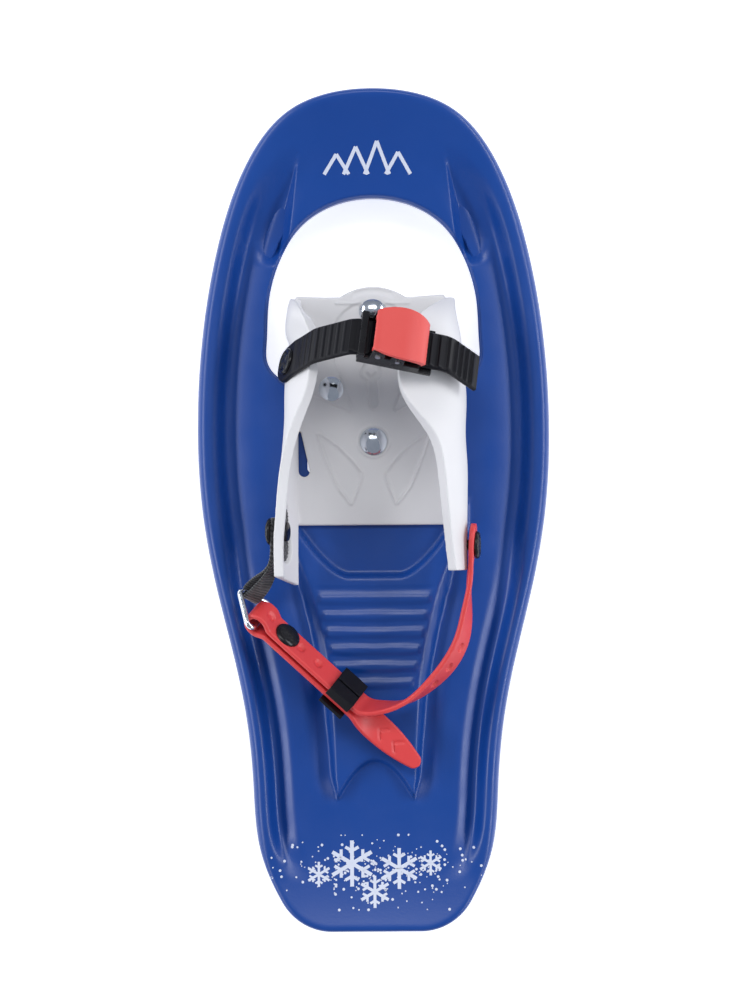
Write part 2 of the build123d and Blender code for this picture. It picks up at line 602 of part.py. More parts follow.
def buckle_cylinder(along, up, radius, across):
    """Cylinder across the buckle between two values of its y."""
    plane = buckle_plane()
    ends = [plane.from_local_coords((along, y, up)) for y in across]
    return cylinder_between(tuple(ends[0]), tuple(ends[1]), radius)


def make_buckle_base():
    """Channel with two walls whose ears carry the pins."""
    bridge = (WALL_START - 1, WALL_START - 1 + BRIDGE_LENGTH)
    base = buckle_box((FLOOR_START, FLOOR_END), (-WALL_OUTER, WALL_OUTER), (FLOOR_LOW, FLOOR_HIGH))
    for side in (-1, 1):
        span = sorted((side * WALL_INNER, side * WALL_OUTER))
        base += buckle_box((WALL_START, WALL_END), span, (FLOOR_LOW, WALL_TOP))
        base += buckle_box((LEVER_PIN_ALONG - EAR_RADIUS, PAWL_PIN_ALONG + EAR_RADIUS), span,
                           (WALL_TOP - 1, PAWL_PIN_UP))
        base += buckle_cylinder(LEVER_PIN_ALONG, LEVER_PIN_UP, EAR_RADIUS, span)
        base += buckle_cylinder(PAWL_PIN_ALONG, PAWL_PIN_UP, EAR_RADIUS, span)
        base += buckle_box(bridge, span, (0, BRIDGE_LOW + 0.4))
    base += buckle_box(bridge, (-WALL_OUTER, WALL_OUTER), (BRIDGE_LOW, BRIDGE_HIGH))
    base -= buckle_cylinder(LEVER_PIN_ALONG, LEVER_PIN_UP, LEVER_PIN_RADIUS, (-20, 20))
    base -= buckle_cylinder(PAWL_PIN_ALONG, PAWL_PIN_UP, PAWL_PIN_RADIUS, (-20, 20))
    for x in BUCKLE_RIVETS_ALONG:
        for y in BUCKLE_RIVETS_ACROSS:
            base -= buckle_rivet_cylinder(x, y, FLOOR_LOW - 1, FLOOR_HIGH + 1, BUCKLE_RIVET_RADIUS)
    return base


def buckle_rivet_cylinder(along, across, low, high, radius):
    """Cylinder square to the buckle's floor."""
    plane = buckle_plane()
    ends = [plane.from_local_coords((along, across, up)) for up in (low, high)]
    return cylinder_between(tuple(ends[0]), tuple(ends[1]), radius)


def make_buckle_rivets():
    """Flat rivets that hold the buckle's floor to the right wing."""
    rivets = []
    for x in BUCKLE_RIVETS_ALONG:
        for y in BUCKLE_RIVETS_ACROSS:
            tail = FLOOR_LOW - BUCKLE_RIVET_DEPTH
            shank = buckle_rivet_cylinder(x, y, tail, FLOOR_HIGH - 0.6, BUCKLE_RIVET_RADIUS)
            head = buckle_rivet_cylinder(x, y, tail - BUCKLE_RIVET_RADIUS, tail, BUCKLE_RIVET_HEAD)
            rivets.append(shank + head)
    return group(rivets)


def make_pin(along, up, radius):
    """Steel pin across the buckle's ears."""
    return buckle_cylinder(along, up, radius, (-PIN_HALF_LENGTH, PIN_HALF_LENGTH))


def make_lever():
    """Ratchet lever: a curved cover with barrel-shaped sides and two lugs on its pin."""
    with BuildSketch(Plane.XZ) as side_view:
        with BuildLine():
            top = Spline(*LEVER_OUTER)
            low = Spline(*LEVER_INNER)
            Line(top @ 1, low @ 0)
            Line(low @ 1, top @ 0)
        make_face()
    cover = extrude(side_view.sketch, amount=LEVER_HALF_WIDTH, both=True)
    with BuildSketch() as plan:
        with BuildLine():
            for side in (-1, 1):
                ThreePointArc((LEVER_START, side * LEVER_START_WIDTH),
                              (LEVER_MIDDLE, side * LEVER_HALF_WIDTH),
                              (LEVER_END, side * LEVER_END_WIDTH))
            Line((LEVER_START, -LEVER_START_WIDTH), (LEVER_START, LEVER_START_WIDTH))
            Line((LEVER_END, -LEVER_END_WIDTH), (LEVER_END, LEVER_END_WIDTH))
        make_face()
    cover &= prism(plan.sketch)
    lever = buckle_plane() * cover
    for side in (-1, 1):
        span = sorted((side * LEVER_LUG_INNER, side * LEVER_LUG_OUTER))
        lever += buckle_cylinder(LEVER_PIN_ALONG, LEVER_PIN_UP, EAR_RADIUS - 0.4, span)
        lever += buckle_box((LEVER_PIN_ALONG - 1.5, LEVER_PIN_ALONG + 3.6), span,
                            (LEVER_PIN_UP, LEVER_TOP - 1))
    return lever - buckle_cylinder(LEVER_PIN_ALONG, LEVER_PIN_UP, LEVER_PIN_RADIUS + RUNNING_GAP,
                                   (-20, 20))


def make_pawl():
    """Locking pawl: a hub, a toothed arm towards the strap's free end and a release tab."""
    across = (-PAWL_HALF_WIDTH, PAWL_HALF_WIDTH)
    plane = buckle_plane()
    depth = 2 * PAWL_HALF_WIDTH
    pawl = buckle_cylinder(PAWL_PIN_ALONG, PAWL_PIN_UP, PAWL_HUB_RADIUS, across)
    for outline in (PAWL_ARM, PAWL_TAB):
        solid = extrude(Rot(90, 0, 0) * polygon(outline), amount=depth)
        middle = solid.bounding_box().center().Y
        pawl += plane * Pos(0, -middle, 0) * solid
    return pawl - buckle_cylinder(PAWL_PIN_ALONG, PAWL_PIN_UP, PAWL_PIN_RADIUS + RUNNING_GAP,
                                  (-20, 20))


def make_pawl_spring():
    """Coiled spring beside the pawl, drawn as a plain sleeve on the pin."""
    span = (PAWL_HALF_WIDTH + SPRING_GAP, SPRING_END)
    sleeve = buckle_cylinder(PAWL_PIN_ALONG, PAWL_PIN_UP, SPRING_RADIUS, span)
    return sleeve - buckle_cylinder(PAWL_PIN_ALONG, PAWL_PIN_UP, PAWL_PIN_RADIUS + RUNNING_GAP, span)


# ---------------------------------------------------------------- heel strap
def swing_cylinder(start, end, radius):
    """Cylinder along the line through the two heel rivets, between two values along it."""
    yaw = math.radians(SWING_YAW)
    ends = [(along * math.cos(yaw), SWING_Y - along * math.sin(yaw), SWING_Z)
            for along in (start, end)]
    return cylinder_between(ends[0], ends[1], radius)


def run_across(tilt):
    """Direction across the doubled run when its face is tilted by an angle in degrees."""
    along = Vector(*RUN_DIRECTION).normalized()
    level = Vector(0, 0, 1).cross(along).normalized()
    turn = math.radians(tilt)
    return level * math.cos(turn) - level.cross(along) * math.sin(turn)


def run_plane():
    """Frame of the heel strap's doubled run: x towards the ring, y across, z outwards."""
    along = Vector(*RUN_DIRECTION).normalized()
    return Plane(origin=KEEPER_PLACE, x_dir=along, z_dir=along.cross(run_across(RUN_TILT)))


def band_section(centre, across, along, width=HEEL_WIDTH):
    """Rectangular section of a band at one station."""
    plane = Plane(origin=centre, x_dir=across, z_dir=along)
    return (plane * Rectangle(width, HEEL_THICKNESS)).face().outer_wire()


def make_heel_strap():
    """Heel strap: twisted right part, doubled run with its loop round the ring, and tongue."""
    run = run_plane()
    layer = (HEEL_THICKNESS + LAYER_GAP) / 2
    yaw = math.radians(SWING_YAW)
    right = RIGHT_STRAP_OFFSET
    pin = (right * math.cos(yaw), SWING_Y - right * math.sin(yaw), SWING_Z)
    end_disc = swing_cylinder(right - HEEL_THICKNESS / 2, right + HEEL_THICKNESS / 2, HEEL_WIDTH / 2)
    stations = [(pin, (0, 0, 1))] + HEEL_RIGHT
    top_start = run.from_local_coords((RUN_START, 0, layer))
    stations.append((tuple(top_start), tuple(run.y_dir)))
    centres = [Vector(*centre) for centre, across in stations]
    centres.append(run.from_local_coords((RUN_END, 0, layer)))
    sections = []
    for index, (centre, across) in enumerate(stations):
        before = centres[max(index - 1, 0)]
        along = centres[index + 1] - before
        if index == 0:
            along = Vector(-math.sin(yaw), -math.cos(yaw), 0)
        if index == len(stations) - 1:
            along = run.x_dir
        across = Vector(*across)
        along = along.normalized()
        across = (across - along * across.dot(along)).normalized()
        sections.append(band_section(tuple(centre), tuple(across), tuple(along)))
    strap = Solid.make_loft(sections, ruled=True) + end_disc
    strap += make_doubled_run(run, layer)
    strap -= swing_cylinder(right - 3, right + 3, SWING_PIN_RADIUS + RUNNING_GAP)
    for index in range(2):
        place = HOLE_FIRST + index * HOLE_PITCH
        strap -= run * Pos(place, 0, 0) * Cylinder(HOLE_RADIUS, 30)
    return strap - run * Pos(LOCK_ALONG, 0, 0) * Cylinder(LOCK_RADIUS / 2, 40)


def make_doubled_run(run, layer):
    """Two layers from the keeper to the ring, the loop that joins them, and the tongue."""
    bend = LOOP_CENTRE - 3
    far = LOOP_CENTRE + LOOP_RADIUS
    path = FilletPolyline(
        (RUN_START, layer), (RUN_END, layer), (bend, LOOP_RADIUS), (far, LOOP_RADIUS),
        (far, -LOOP_RADIUS), (bend, -LOOP_RADIUS), (RUN_END, -layer), (RUN_START, -layer),
        radius=[5, 5, 5.4, 5.4, 5, 5])
    side_view = Plane(origin=run.origin, x_dir=run.x_dir, z_dir=-run.y_dir)
    doubled = extrude(side_view * trace(path, HEEL_THICKNESS), amount=HEEL_WIDTH / 2, both=True)
    sections = []
    for place, drop, half_width, tilt in TONGUE:
        centre = run.from_local_coords((place, 0, -layer)) - Vector(0, 0, drop)
        sections.append(band_section(tuple(centre), tuple(run_across(tilt)), tuple(run.x_dir),
                                     2 * half_width))
    return doubled + Solid.make_loft(sections, ruled=True)


def make_lock_button():
    """Two-part button that locks the heel strap's layers together."""
    run = run_plane()
    face = HEEL_THICKNESS + LAYER_GAP / 2
    button = run * Pos(LOCK_ALONG, 0, face + LOCK_HEAD / 2) * Cylinder(LOCK_RADIUS, LOCK_HEAD)
    button += run * Pos(LOCK_ALONG, 0, 0) * Cylinder(LOCK_RADIUS / 2, 2 * face + LOCK_HEAD)
    tail = Cylinder(LOCK_RADIUS - 1, LOCK_TAIL)
    return button + run * Pos(LOCK_ALONG, 0, -face - LOCK_TAIL / 2) * tail


def make_keeper():
    """Sliding loop round both layers of the heel strap."""
    run = run_plane()
    layers = 2 * HEEL_THICKNESS + LAYER_GAP
    inner = (HEEL_WIDTH + 2 * KEEPER_GAP, layers + 2 * KEEPER_GAP)
    outer = (inner[0] + 2 * KEEPER_WALL, inner[1] + 2 * KEEPER_WALL)
    block = Box(KEEPER_LENGTH, outer[0], outer[1]) - Box(2 * KEEPER_LENGTH, inner[0], inner[1])
    low, high = KEEPER_SLIT
    slit = Pos(0, outer[0] / 2, (low + high) / 2) * Box(2 * KEEPER_LENGTH, outer[0] / 2, high - low)
    return run * (block - slit)


def ring_corners():
    """Corners of the triangular ring in the part's frame."""
    run = run_plane()
    return [run.from_local_coords(corner) for corner in RING_CORNERS]


def make_ring():
    """Triangular ring of steel wire."""
    path = FilletPolyline(*ring_corners(), radius=RING_BEND, close=True)
    start = path.edges()[0]
    section = Plane(origin=start @ 0, z_dir=start % 0) * Circle(RING_WIRE)
    return sweep(section, path=path, transition=Transition.ROUND)


def make_webbing():
    """Webbing from the left rivet round one side of the ring and back, outside the arm."""
    yaw = math.radians(SWING_YAW)
    rearward = Vector(-math.sin(yaw), -math.cos(yaw), 0)
    pin = Vector(LEFT_WEBBING_OFFSET * math.cos(yaw), SWING_Y - LEFT_WEBBING_OFFSET * math.sin(yaw),
                 SWING_Z)
    outward = rearward.cross(Vector(0, 0, 1)) * -1
    near, _, far = ring_corners()
    bar = (near - far).normalized()
    middle = (near + far) * 0.5 + bar * WEBBING_SHIFT
    to_ring = (middle - pin - rearward * WEBBING_FREE).normalized()
    to_ring = (to_ring - bar * to_ring.dot(bar)).normalized()
    side = to_ring.cross(bar)
    if side.dot(outward) < 0:
        side = side * -1
    level = Vector(0, 0, 1)
    half_gap = (WEBBING_THICKNESS + WEBBING_GAP) / 2
    stations = [
        (pin + outward * half_gap - rearward * WEBBING_PAST_PIN, level, rearward),
        (pin + outward * half_gap + rearward * WEBBING_FREE, level, rearward),
    ]
    turns = 4
    for index in range(turns + 1):
        angle = math.pi * index / turns
        reach = side * math.cos(angle) + to_ring * math.sin(angle)
        along = to_ring * math.cos(angle) - side * math.sin(angle)
        stations.append((middle + reach * WRAP_RADIUS, bar, along))
    stations += [
        (pin - outward * half_gap + rearward * WEBBING_FREE, level, rearward * -1),
        (pin - outward * half_gap - rearward * WEBBING_PAST_PIN, level, rearward * -1),
    ]
    sections = [
        (Plane(origin=centre, x_dir=across, z_dir=along)
         * Rectangle(WEBBING_WIDTH, WEBBING_THICKNESS)).face().outer_wire()
        for centre, across, along in stations]
    webbing = Solid.make_loft(sections, ruled=True)
    left = LEFT_WEBBING_OFFSET
    return webbing - swing_cylinder(left - 5, left + 5, SWING_PIN_RADIUS + RUNNING_GAP)


def make_heel_rivet():
    """Button rivet through the right arm and the heel strap's end."""
    face = RIGHT_STRAP_OFFSET + HEEL_THICKNESS / 2 + 0.1
    return make_swing_rivet(face, HEEL_RIVET_TAIL)


def make_webbing_rivet():
    """Button rivet through the left arm and the webbing's ends."""
    face = LEFT_WEBBING_OFFSET - WEBBING_THICKNESS - WEBBING_GAP
    return make_swing_rivet(face, WEBBING_RIVET_TAIL)


def make_swing_rivet(face, inner):
    """Rivet on the line of the heel strap's swing: head at the face, tail at the inner end."""
    side = math.copysign(1, face)
    head = swing_cylinder(face, face + side * RIVET_HEAD_HEIGHT, RIVET_HEAD_RADIUS)
    shank = swing_cylinder(inner, face, SWING_PIN_RADIUS)
    tail = swing_cylinder(inner - side * RIVET_TAIL_HEIGHT, inner, RIVET_TAIL_RADIUS)
    return head + shank + tail


# ---------------------------------------------------------------- write the parts
os.makedirs("parts", exist_ok=True)
save(make_deck(), "deck")
save(make_axle(), "pivot_axle")
save(make_axle_caps(), "axle_caps")
save(make_bushes(), "axle_bushes")
save(make_crampon(), "crampon")
save(make_binding_shell(), "binding_shell")
save(make_bolts(), "carriage_bolts")
save(make_washers(), "bolt_washers")
save(make_nuts(), "lock_nuts")
save(make_toe_strap(), "toe_strap")
save(make_toe_rivet(), "toe_strap_rivet")
save(make_buckle_base(), "buckle_base")
save(make_buckle_rivets(), "buckle_rivets")
save(make_pin(LEVER_PIN_ALONG, LEVER_PIN_UP, LEVER_PIN_RADIUS), "lever_pin")
save(make_pin(PAWL_PIN_ALONG, PAWL_PIN_UP, PAWL_PIN_RADIUS), "pawl_pin")
save(make_lever(), "buckle_lever")
save(make_pawl(), "buckle_pawl")
save(make_pawl_spring(), "pawl_spring")
save(make_heel_strap(), "heel_strap")
save(make_lock_button(), "lock_button")
save(make_keeper(), "strap_keeper")
save(make_ring(), "strap_ring")
save(make_webbing(), "ring_webbing")
save(make_heel_rivet(), "heel_strap_rivet")
save(make_webbing_rivet(), "webbing_rivet")
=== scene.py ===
import math
import random

import bmesh
import bpy
import numpy as np
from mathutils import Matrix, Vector
from mathutils.bvhtree import BVHTree
from mathutils.geometry import convex_hull_2d


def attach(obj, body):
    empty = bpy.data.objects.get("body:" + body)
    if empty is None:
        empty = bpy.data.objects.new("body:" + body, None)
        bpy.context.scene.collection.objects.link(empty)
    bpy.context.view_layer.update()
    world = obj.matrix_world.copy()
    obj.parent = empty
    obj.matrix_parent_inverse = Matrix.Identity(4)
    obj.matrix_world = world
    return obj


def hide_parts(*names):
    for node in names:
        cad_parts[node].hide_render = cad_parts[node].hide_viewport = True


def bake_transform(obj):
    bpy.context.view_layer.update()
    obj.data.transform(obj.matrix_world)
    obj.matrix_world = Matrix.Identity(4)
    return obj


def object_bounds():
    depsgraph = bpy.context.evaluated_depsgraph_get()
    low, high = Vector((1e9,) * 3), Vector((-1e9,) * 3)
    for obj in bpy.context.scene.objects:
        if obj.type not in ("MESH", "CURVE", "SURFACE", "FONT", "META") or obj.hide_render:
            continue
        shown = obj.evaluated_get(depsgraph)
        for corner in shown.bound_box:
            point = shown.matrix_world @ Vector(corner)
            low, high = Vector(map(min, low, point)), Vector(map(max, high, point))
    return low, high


# A child's snowshoe for the right foot.  Lengths in this script are millimetres until a mesh is
# made, where MM turns them into the frame's metres.  +X is to the right, +Y to the toe, +Z up.
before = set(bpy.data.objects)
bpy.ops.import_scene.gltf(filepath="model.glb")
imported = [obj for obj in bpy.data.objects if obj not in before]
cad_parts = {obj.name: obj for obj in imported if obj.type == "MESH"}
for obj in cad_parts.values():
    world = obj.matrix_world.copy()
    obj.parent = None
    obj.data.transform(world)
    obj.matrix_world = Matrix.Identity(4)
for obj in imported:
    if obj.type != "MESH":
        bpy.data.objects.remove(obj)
CAD_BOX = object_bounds()
MM = 0.001

# ---------------------------------------------------------------- deck sizes
NOSE = 1000 * CAD_BOX[1].y
OUTLINE = [
    (0, NOSE), (46.7, 229.5), (73.6, 195), (89.1, 149), (98.5, 92), (100.8, 46), (98.5, 0),
    (90.5, -45.5), (79.4, -91.4), (72.6, -130), (70.2, -160), (66.7, -194.5), (54, -225),
]
TAIL_DIRECTION = (-0.5, -0.866)
TAIL_CORNER_END = (25.4, -NOSE)
HOLE_FRONT = [(0, 178), (26.4, 172.2), (42.1, 160.7), (52.8, 143.5), (59.5, 120), (61, 95)]
HOLE_CORNER = [(61, 86), (58.5, 80), (53, 74.5), (44, 66.5)]
WELL = [(38, 62), (38, 22), (36, 20), (0, 20)]
SPINE_END = (0, -190)
ROCKER_RADIUS = 260.0
NOSE_START, TAIL_START = 110.0, -170.0
NOSE_SHORTENING = 0.0005
BAND = 26.0
PLATE_HIGH, RIM_HIGH, PANEL_HIGH = 21.5, 26.0, 26.3
PLATE_LOW, RIM_LOW = 16.5, 12.0
EDGE_LEVEL = 18.5
AXLE_Y, AXLE_Z = 67.0, 8.0
# Tail panel: its ends on the middle line, then its ribs, from the front one to the rear one.
PANEL_FRONT, PANEL_REAR = -38.5, -144.2
RIB_FIRST, RIB_PITCH, RIB_HEIGHT = -51.6, 9.7, 1.1
RIB_REACHES = [33, 31, 29, 26.7, 25.1, 22.9]
TAIL_VALLEY, NOSE_VALLEY = 3.0, 7.5
# Nose panel: where its flanks start at full width, and how far back they run.
FLANK_FRONT, FLANK_LENGTH, FLANK_HALF_WIDTH = 207.0, 52.0, 41.3
# Insets of the deck's grid lines from its outline, and shares of the way on to the inner line.
UPPER_INSETS = [0, 0.3, 0.8, 1.5, 2.4, 3.4, 4.6, 6, 7.2, 8.4, 9.6, 10.8, 12, 13.2, 14.4, 15.6, 16.8,
                18, 19.4, 21, 22.6, 24.3, BAND]
LOWER_INSETS = [0, 0.3, 0.9, 2, 3.6, 6, 9, 12, 13.3, 13.8, 14.3, 15, 17, 18.3, 19, 19.6, 20.2, 22,
                24, BAND]
UPPER_SHARES = [1 - (1 - k / 46) ** 1.15 for k in range(1, 47)]
LOWER_SHARES = [1 - (1 - k / 22) ** 1.3 for k in range(1, 23)]
# Places along the outline and the inner line's points that the deck's grid joins.
GRID_MATCHES = [(98, (61, 95)), (70, (44, 66.5)), (60, (38, 62)), (24, (38, 22)), (12, (0, 20))]


# ---------------------------------------------------------------- curve helpers
def running_lengths(line):
    """Distance along a polyline at each of its points."""
    return np.concatenate([[0], np.cumsum(np.linalg.norm(np.diff(line, axis=0), axis=1))])


def curve_points(points, count, start=None, end=None):
    """Points along a smooth cubic curve through given points, evenly spaced in chord length."""
    points = np.array(points, float)
    knots = running_lengths(points)
    gaps = np.diff(knots)
    size = len(points)
    system = np.zeros((size, size))
    right = np.zeros_like(points)
    for i in range(1, size - 1):
        system[i, i - 1] = gaps[i]
        system[i, i] = 2 * (gaps[i - 1] + gaps[i])
        system[i, i + 1] = gaps[i - 1]
        right[i] = 3 * (gaps[i] * (points[i] - points[i - 1]) / gaps[i - 1]
                        + gaps[i - 1] * (points[i + 1] - points[i]) / gaps[i])
    for row, other, slope, chord in ((0, 1, start, (points[1] - points[0]) / gaps[0]),
                                     (size - 1, size - 2, end, (points[-1] - points[-2]) / gaps[-1])):
        system[row, row] = 1
        if slope is not None:
            right[row] = slope
        else:
            system[row, row] = 2
            system[row, other] = 1
            right[row] = 3 * chord
    slopes = np.linalg.solve(system, right)
    places = np.linspace(0, knots[-1], count)
    index = np.clip(np.searchsorted(knots, places, side="right") - 1, 0, size - 2)
    t = ((places - knots[index]) / gaps[index])[:, None]
    gap = gaps[index][:, None]
    a, b = points[index], points[index + 1]
    ta, tb = slopes[index] * gap, slopes[index + 1] * gap
    return ((2 * t**3 - 3 * t**2 + 1) * a + (t**3 - 2 * t**2 + t) * ta
            + (-2 * t**3 + 3 * t**2) * b + (t**3 - t**2) * tb)


def arc_between(start, direction, end, count):
    """Points of the arc that leaves start in a direction, turning right, and reaches end."""
    start, end = np.array(start, float), np.array(end, float)
    direction = np.array(direction) / np.linalg.norm(direction)
    right = np.array([direction[1], -direction[0]])
    chord = end - start
    radius = chord @ chord / (2 * (chord @ right))
    turn = 2 * math.asin(np.linalg.norm(chord) / (2 * radius))
    centre = start + right * radius
    angles = np.linspace(0, turn, count)
    return np.array([centre - right * radius * math.cos(a) + direction * radius * math.sin(a)
                     for a in angles])


def along(line, places):
    """Points of a polyline at given shares of its length."""
    reach = running_lengths(line)
    wanted = np.array(places) * reach[-1]
    return np.stack([np.interp(wanted, reach, line[:, k]) for k in range(line.shape[1])], axis=1)


def ease(low, high, value):
    """Smooth step from 0 at low to 1 at high; low may be the larger."""
    t = np.clip((np.asarray(value, float) - low) / (high - low), 0, 1)
    return t * t * (3 - 2 * t)


def profile(points):
    """Smooth function through (place, height) points, flat beyond the last."""
    points = np.array(points, float)
    dense = curve_points(points, 400)
    return lambda place: np.interp(place, dense[:, 0], dense[:, 1])


def distance_to(line, points):
    """Distance in plan from each point to a polyline."""
    best = np.full(len(points), 1e9)
    for a, b in zip(line[:-1], line[1:]):
        run = b - a
        t = np.clip(((points - a) @ run) / (run @ run + 1e-12), 0, 1)
        gap = np.linalg.norm(points - (a + t[:, None] * run), axis=1)
        best = np.minimum(best, gap)
    return best


# ---------------------------------------------------------------- mesh helpers
def add_object(name, data):
    """New object in the scene."""
    thing = bpy.data.objects.new(name, data)
    bpy.context.scene.collection.objects.link(thing)
    return thing


def new_piece(name, vertices, faces, smooth=True):
    """Mesh object from vertices in millimetres."""
    mesh = bpy.data.meshes.new(name)
    mesh.from_pydata([tuple(float(c) * MM for c in v) for v in vertices], [], faces)
    mesh.validate()
    piece = add_object(name, mesh)
    if smooth:
        mesh.polygons.foreach_set("use_smooth", [True] * len(mesh.polygons))
    clean_normals(piece)
    return piece


def clean_normals(piece):
    """Welds coincident vertices and turns every face outwards."""
    work = bmesh.new()
    work.from_mesh(piece.data)
    bmesh.ops.remove_doubles(work, verts=work.verts, dist=1e-6)
    bmesh.ops.dissolve_degenerate(work, edges=work.edges, dist=1e-7)
    bmesh.ops.recalc_face_normals(work, faces=work.faces)
    work.to_mesh(piece.data)
    work.free()


def modify(piece, kind, **settings):
    """Adds a modifier and applies it at once."""
    modifier = piece.modifiers.new(kind, kind)
    for key, value in settings.items():
        setattr(modifier, key, value)
    bpy.context.view_layer.objects.active = piece
    with bpy.context.temp_override(object=piece, active_object=piece, selected_objects=[piece]):
        bpy.ops.object.modifier_apply(modifier=modifier.name)


def join(name, pieces):
    """Joins several meshes into one object."""
    with bpy.context.temp_override(active_object=pieces[0], object=pieces[0],
                                   selected_objects=pieces, selected_editable_objects=pieces):
        bpy.ops.object.join()
    pieces[0].name = name
    return pieces[0]


def melt(piece, voxel, rounds):
    """Makes overlapping shells one skin and softens its edges, like a moulded part."""
    modify(piece, "REMESH", mode="VOXEL", voxel_size=voxel * MM, use_smooth_shade=True)
    modify(piece, "SMOOTH", factor=0.5, iterations=rounds)
    piece.data.polygons.foreach_set("use_smooth", [True] * len(piece.data.polygons))
    return piece


def soft_copy(node, name, voxel, rounds):
    """Copy of a CAD node with softened edges, as its own piece."""
    return melt(add_object(name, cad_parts[node].data.copy()), voxel, rounds)


def grid_faces(rows, columns, wrap_rows=False):
    """Quads of a rows by columns grid of vertices."""
    faces = []
    for i in range(rows if wrap_rows else rows - 1):
        here, below = i * columns, (i + 1) % rows * columns
        faces += [(here + j, below + j, below + j + 1, here + j + 1) for j in range(columns - 1)]
    return faces


def block(name, corners):
    """Box from eight corners, whose first direction changes fastest and last slowest."""
    faces = [(0, 1, 3, 2), (4, 6, 7, 5), (0, 4, 5, 1), (2, 3, 7, 6), (0, 2, 6, 4), (1, 5, 7, 3)]
    return new_piece(name, corners, faces, smooth=False)


def turned(name, line, centre, axis, segments, wobble=None):
    """Solid of revolution: line holds (radius, height) along axis from centre."""
    axis = Vector(axis).normalized()
    side = axis.orthogonal().normalized()
    other = axis.cross(side)
    vertices = []
    for index in range(segments):
        angle = math.tau * index / segments
        for radius, height in line:
            lift = wobble(radius, angle) if wobble else 0.0
            spot = (Vector(centre) + (side * math.cos(angle) + other * math.sin(angle)) * radius
                    + axis * (height + lift))
            vertices.append(tuple(spot))
    faces = grid_faces(segments, len(line), wrap_rows=True)
    return new_piece(name, vertices, faces)


def finish_piece(piece, body, material, nodes=()):
    """Gives a piece its material, its body and the CAD nodes it stands for."""
    piece.data.materials.clear()
    piece.data.materials.append(material)
    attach(piece, body)
    if nodes:
        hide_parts(*nodes)
    return piece


# ---------------------------------------------------------------- materials
def set_inputs(node, **values):
    """Sets a node's inputs; an underscore stands for the space in an input's name."""
    for key, value in values.items():
        node.inputs[key.replace("_", " ")].default_value = value


def shader(name, colour, roughness, metallic=0.0, **settings):
    """New material with a Principled shader."""
    material = bpy.data.materials.new(name)
    material.use_nodes = True
    principled = material.node_tree.nodes["Principled BSDF"]
    set_inputs(principled, Base_Color=(*colour, 1), Roughness=roughness, Metallic=metallic,
               **settings)
    return material, material.node_tree, principled


def noise(tree, scale, detail, stretch=(1, 1, 1)):
    """Noise texture in the piece's own coordinates."""
    nodes, links = tree.nodes, tree.links
    place = nodes.new("ShaderNodeTexCoord")
    mapping = nodes.new("ShaderNodeMapping")
    set_inputs(mapping, Scale=stretch)
    texture = nodes.new("ShaderNodeTexNoise")
    set_inputs(texture, Scale=scale, Detail=detail)
    links.new(place.outputs["Object"], mapping.inputs["Vector"])
    links.new(mapping.outputs["Vector"], texture.inputs["Vector"])
    return texture.outputs["Fac"]


def spread(tree, source, low, high, target):
    """Maps a texture's middle range to values and feeds them to a socket."""
    ramp = tree.nodes.new("ShaderNodeMapRange")
    set_inputs(ramp, From_Min=0.3, From_Max=0.7, To_Min=low, To_Max=high)
    tree.links.new(source, ramp.inputs["Value"])
    tree.links.new(ramp.outputs["Result"], target)


def tint(tree, source, dark, light, principled):
    """Colour that varies between two tints with a texture."""
    mix = tree.nodes.new("ShaderNodeMix")
    mix.data_type = "RGBA"
    set_inputs(mix, A=(*dark, 1), B=(*light, 1))
    tree.links.new(source, mix.inputs["Factor"])
    tree.links.new(mix.outputs["Result"], principled.inputs["Base Color"])


def bump(tree, principled, source, depth):
    """Bump of a depth in millimetres from a texture, on top of any there already."""
    node = tree.nodes.new("ShaderNodeBump")
    set_inputs(node, Distance=depth * MM, Strength=1.0)
    tree.links.new(source, node.inputs["Height"])
    if principled.inputs["Normal"].is_linked:
        tree.links.new(principled.inputs["Normal"].links[0].from_socket, node.inputs["Normal"])
    tree.links.new(node.outputs["Normal"], principled.inputs["Normal"])


def moulded(name, dark, light, roughness, grain_depth, grain, **settings):
    """Moulded plastic or rubber: fine grain, faint clouding and uneven gloss."""
    material, tree, principled = shader(name, light, roughness, **settings)
    tint(tree, noise(tree, 14, 3), dark, light, principled)
    spread(tree, noise(tree, 60, 4), roughness - 0.04, roughness + 0.05,
           principled.inputs["Roughness"])
    bump(tree, principled, noise(tree, grain, 2), grain_depth)
    return material


def metal(name, dark, light, roughness, stretch=(1, 1, 1)):
    """Plated or brushed steel with faint scratches."""
    material, tree, principled = shader(name, light, roughness, metallic=1.0)
    tint(tree, noise(tree, 180, 4, stretch), dark, light, principled)
    spread(tree, noise(tree, 260, 5, stretch), roughness - 0.06, roughness + 0.08,
           principled.inputs["Roughness"])
    bump(tree, principled, noise(tree, 500, 3, stretch), 0.02)
    return material


def woven(name):
    """Black woven webbing: fine cross ribs with sheen."""
    material, tree, principled = shader(name, (0.012, 0.012, 0.013), 0.7, Sheen_Weight=0.4)
    wave = tree.nodes.new("ShaderNodeTexWave")
    set_inputs(wave, Scale=210, Distortion=0.6)
    wave.bands_direction = "DIAGONAL"
    place = tree.nodes.new("ShaderNodeTexCoord")
    tree.links.new(place.outputs["Object"], wave.inputs["Vector"])
    tint(tree, wave.outputs["Fac"], (0.006, 0.006, 0.007), (0.05, 0.05, 0.052), principled)
    bump(tree, principled, wave.outputs["Fac"], 0.25)
    bump(tree, principled, noise(tree, 1500, 2), 0.05)
    return material


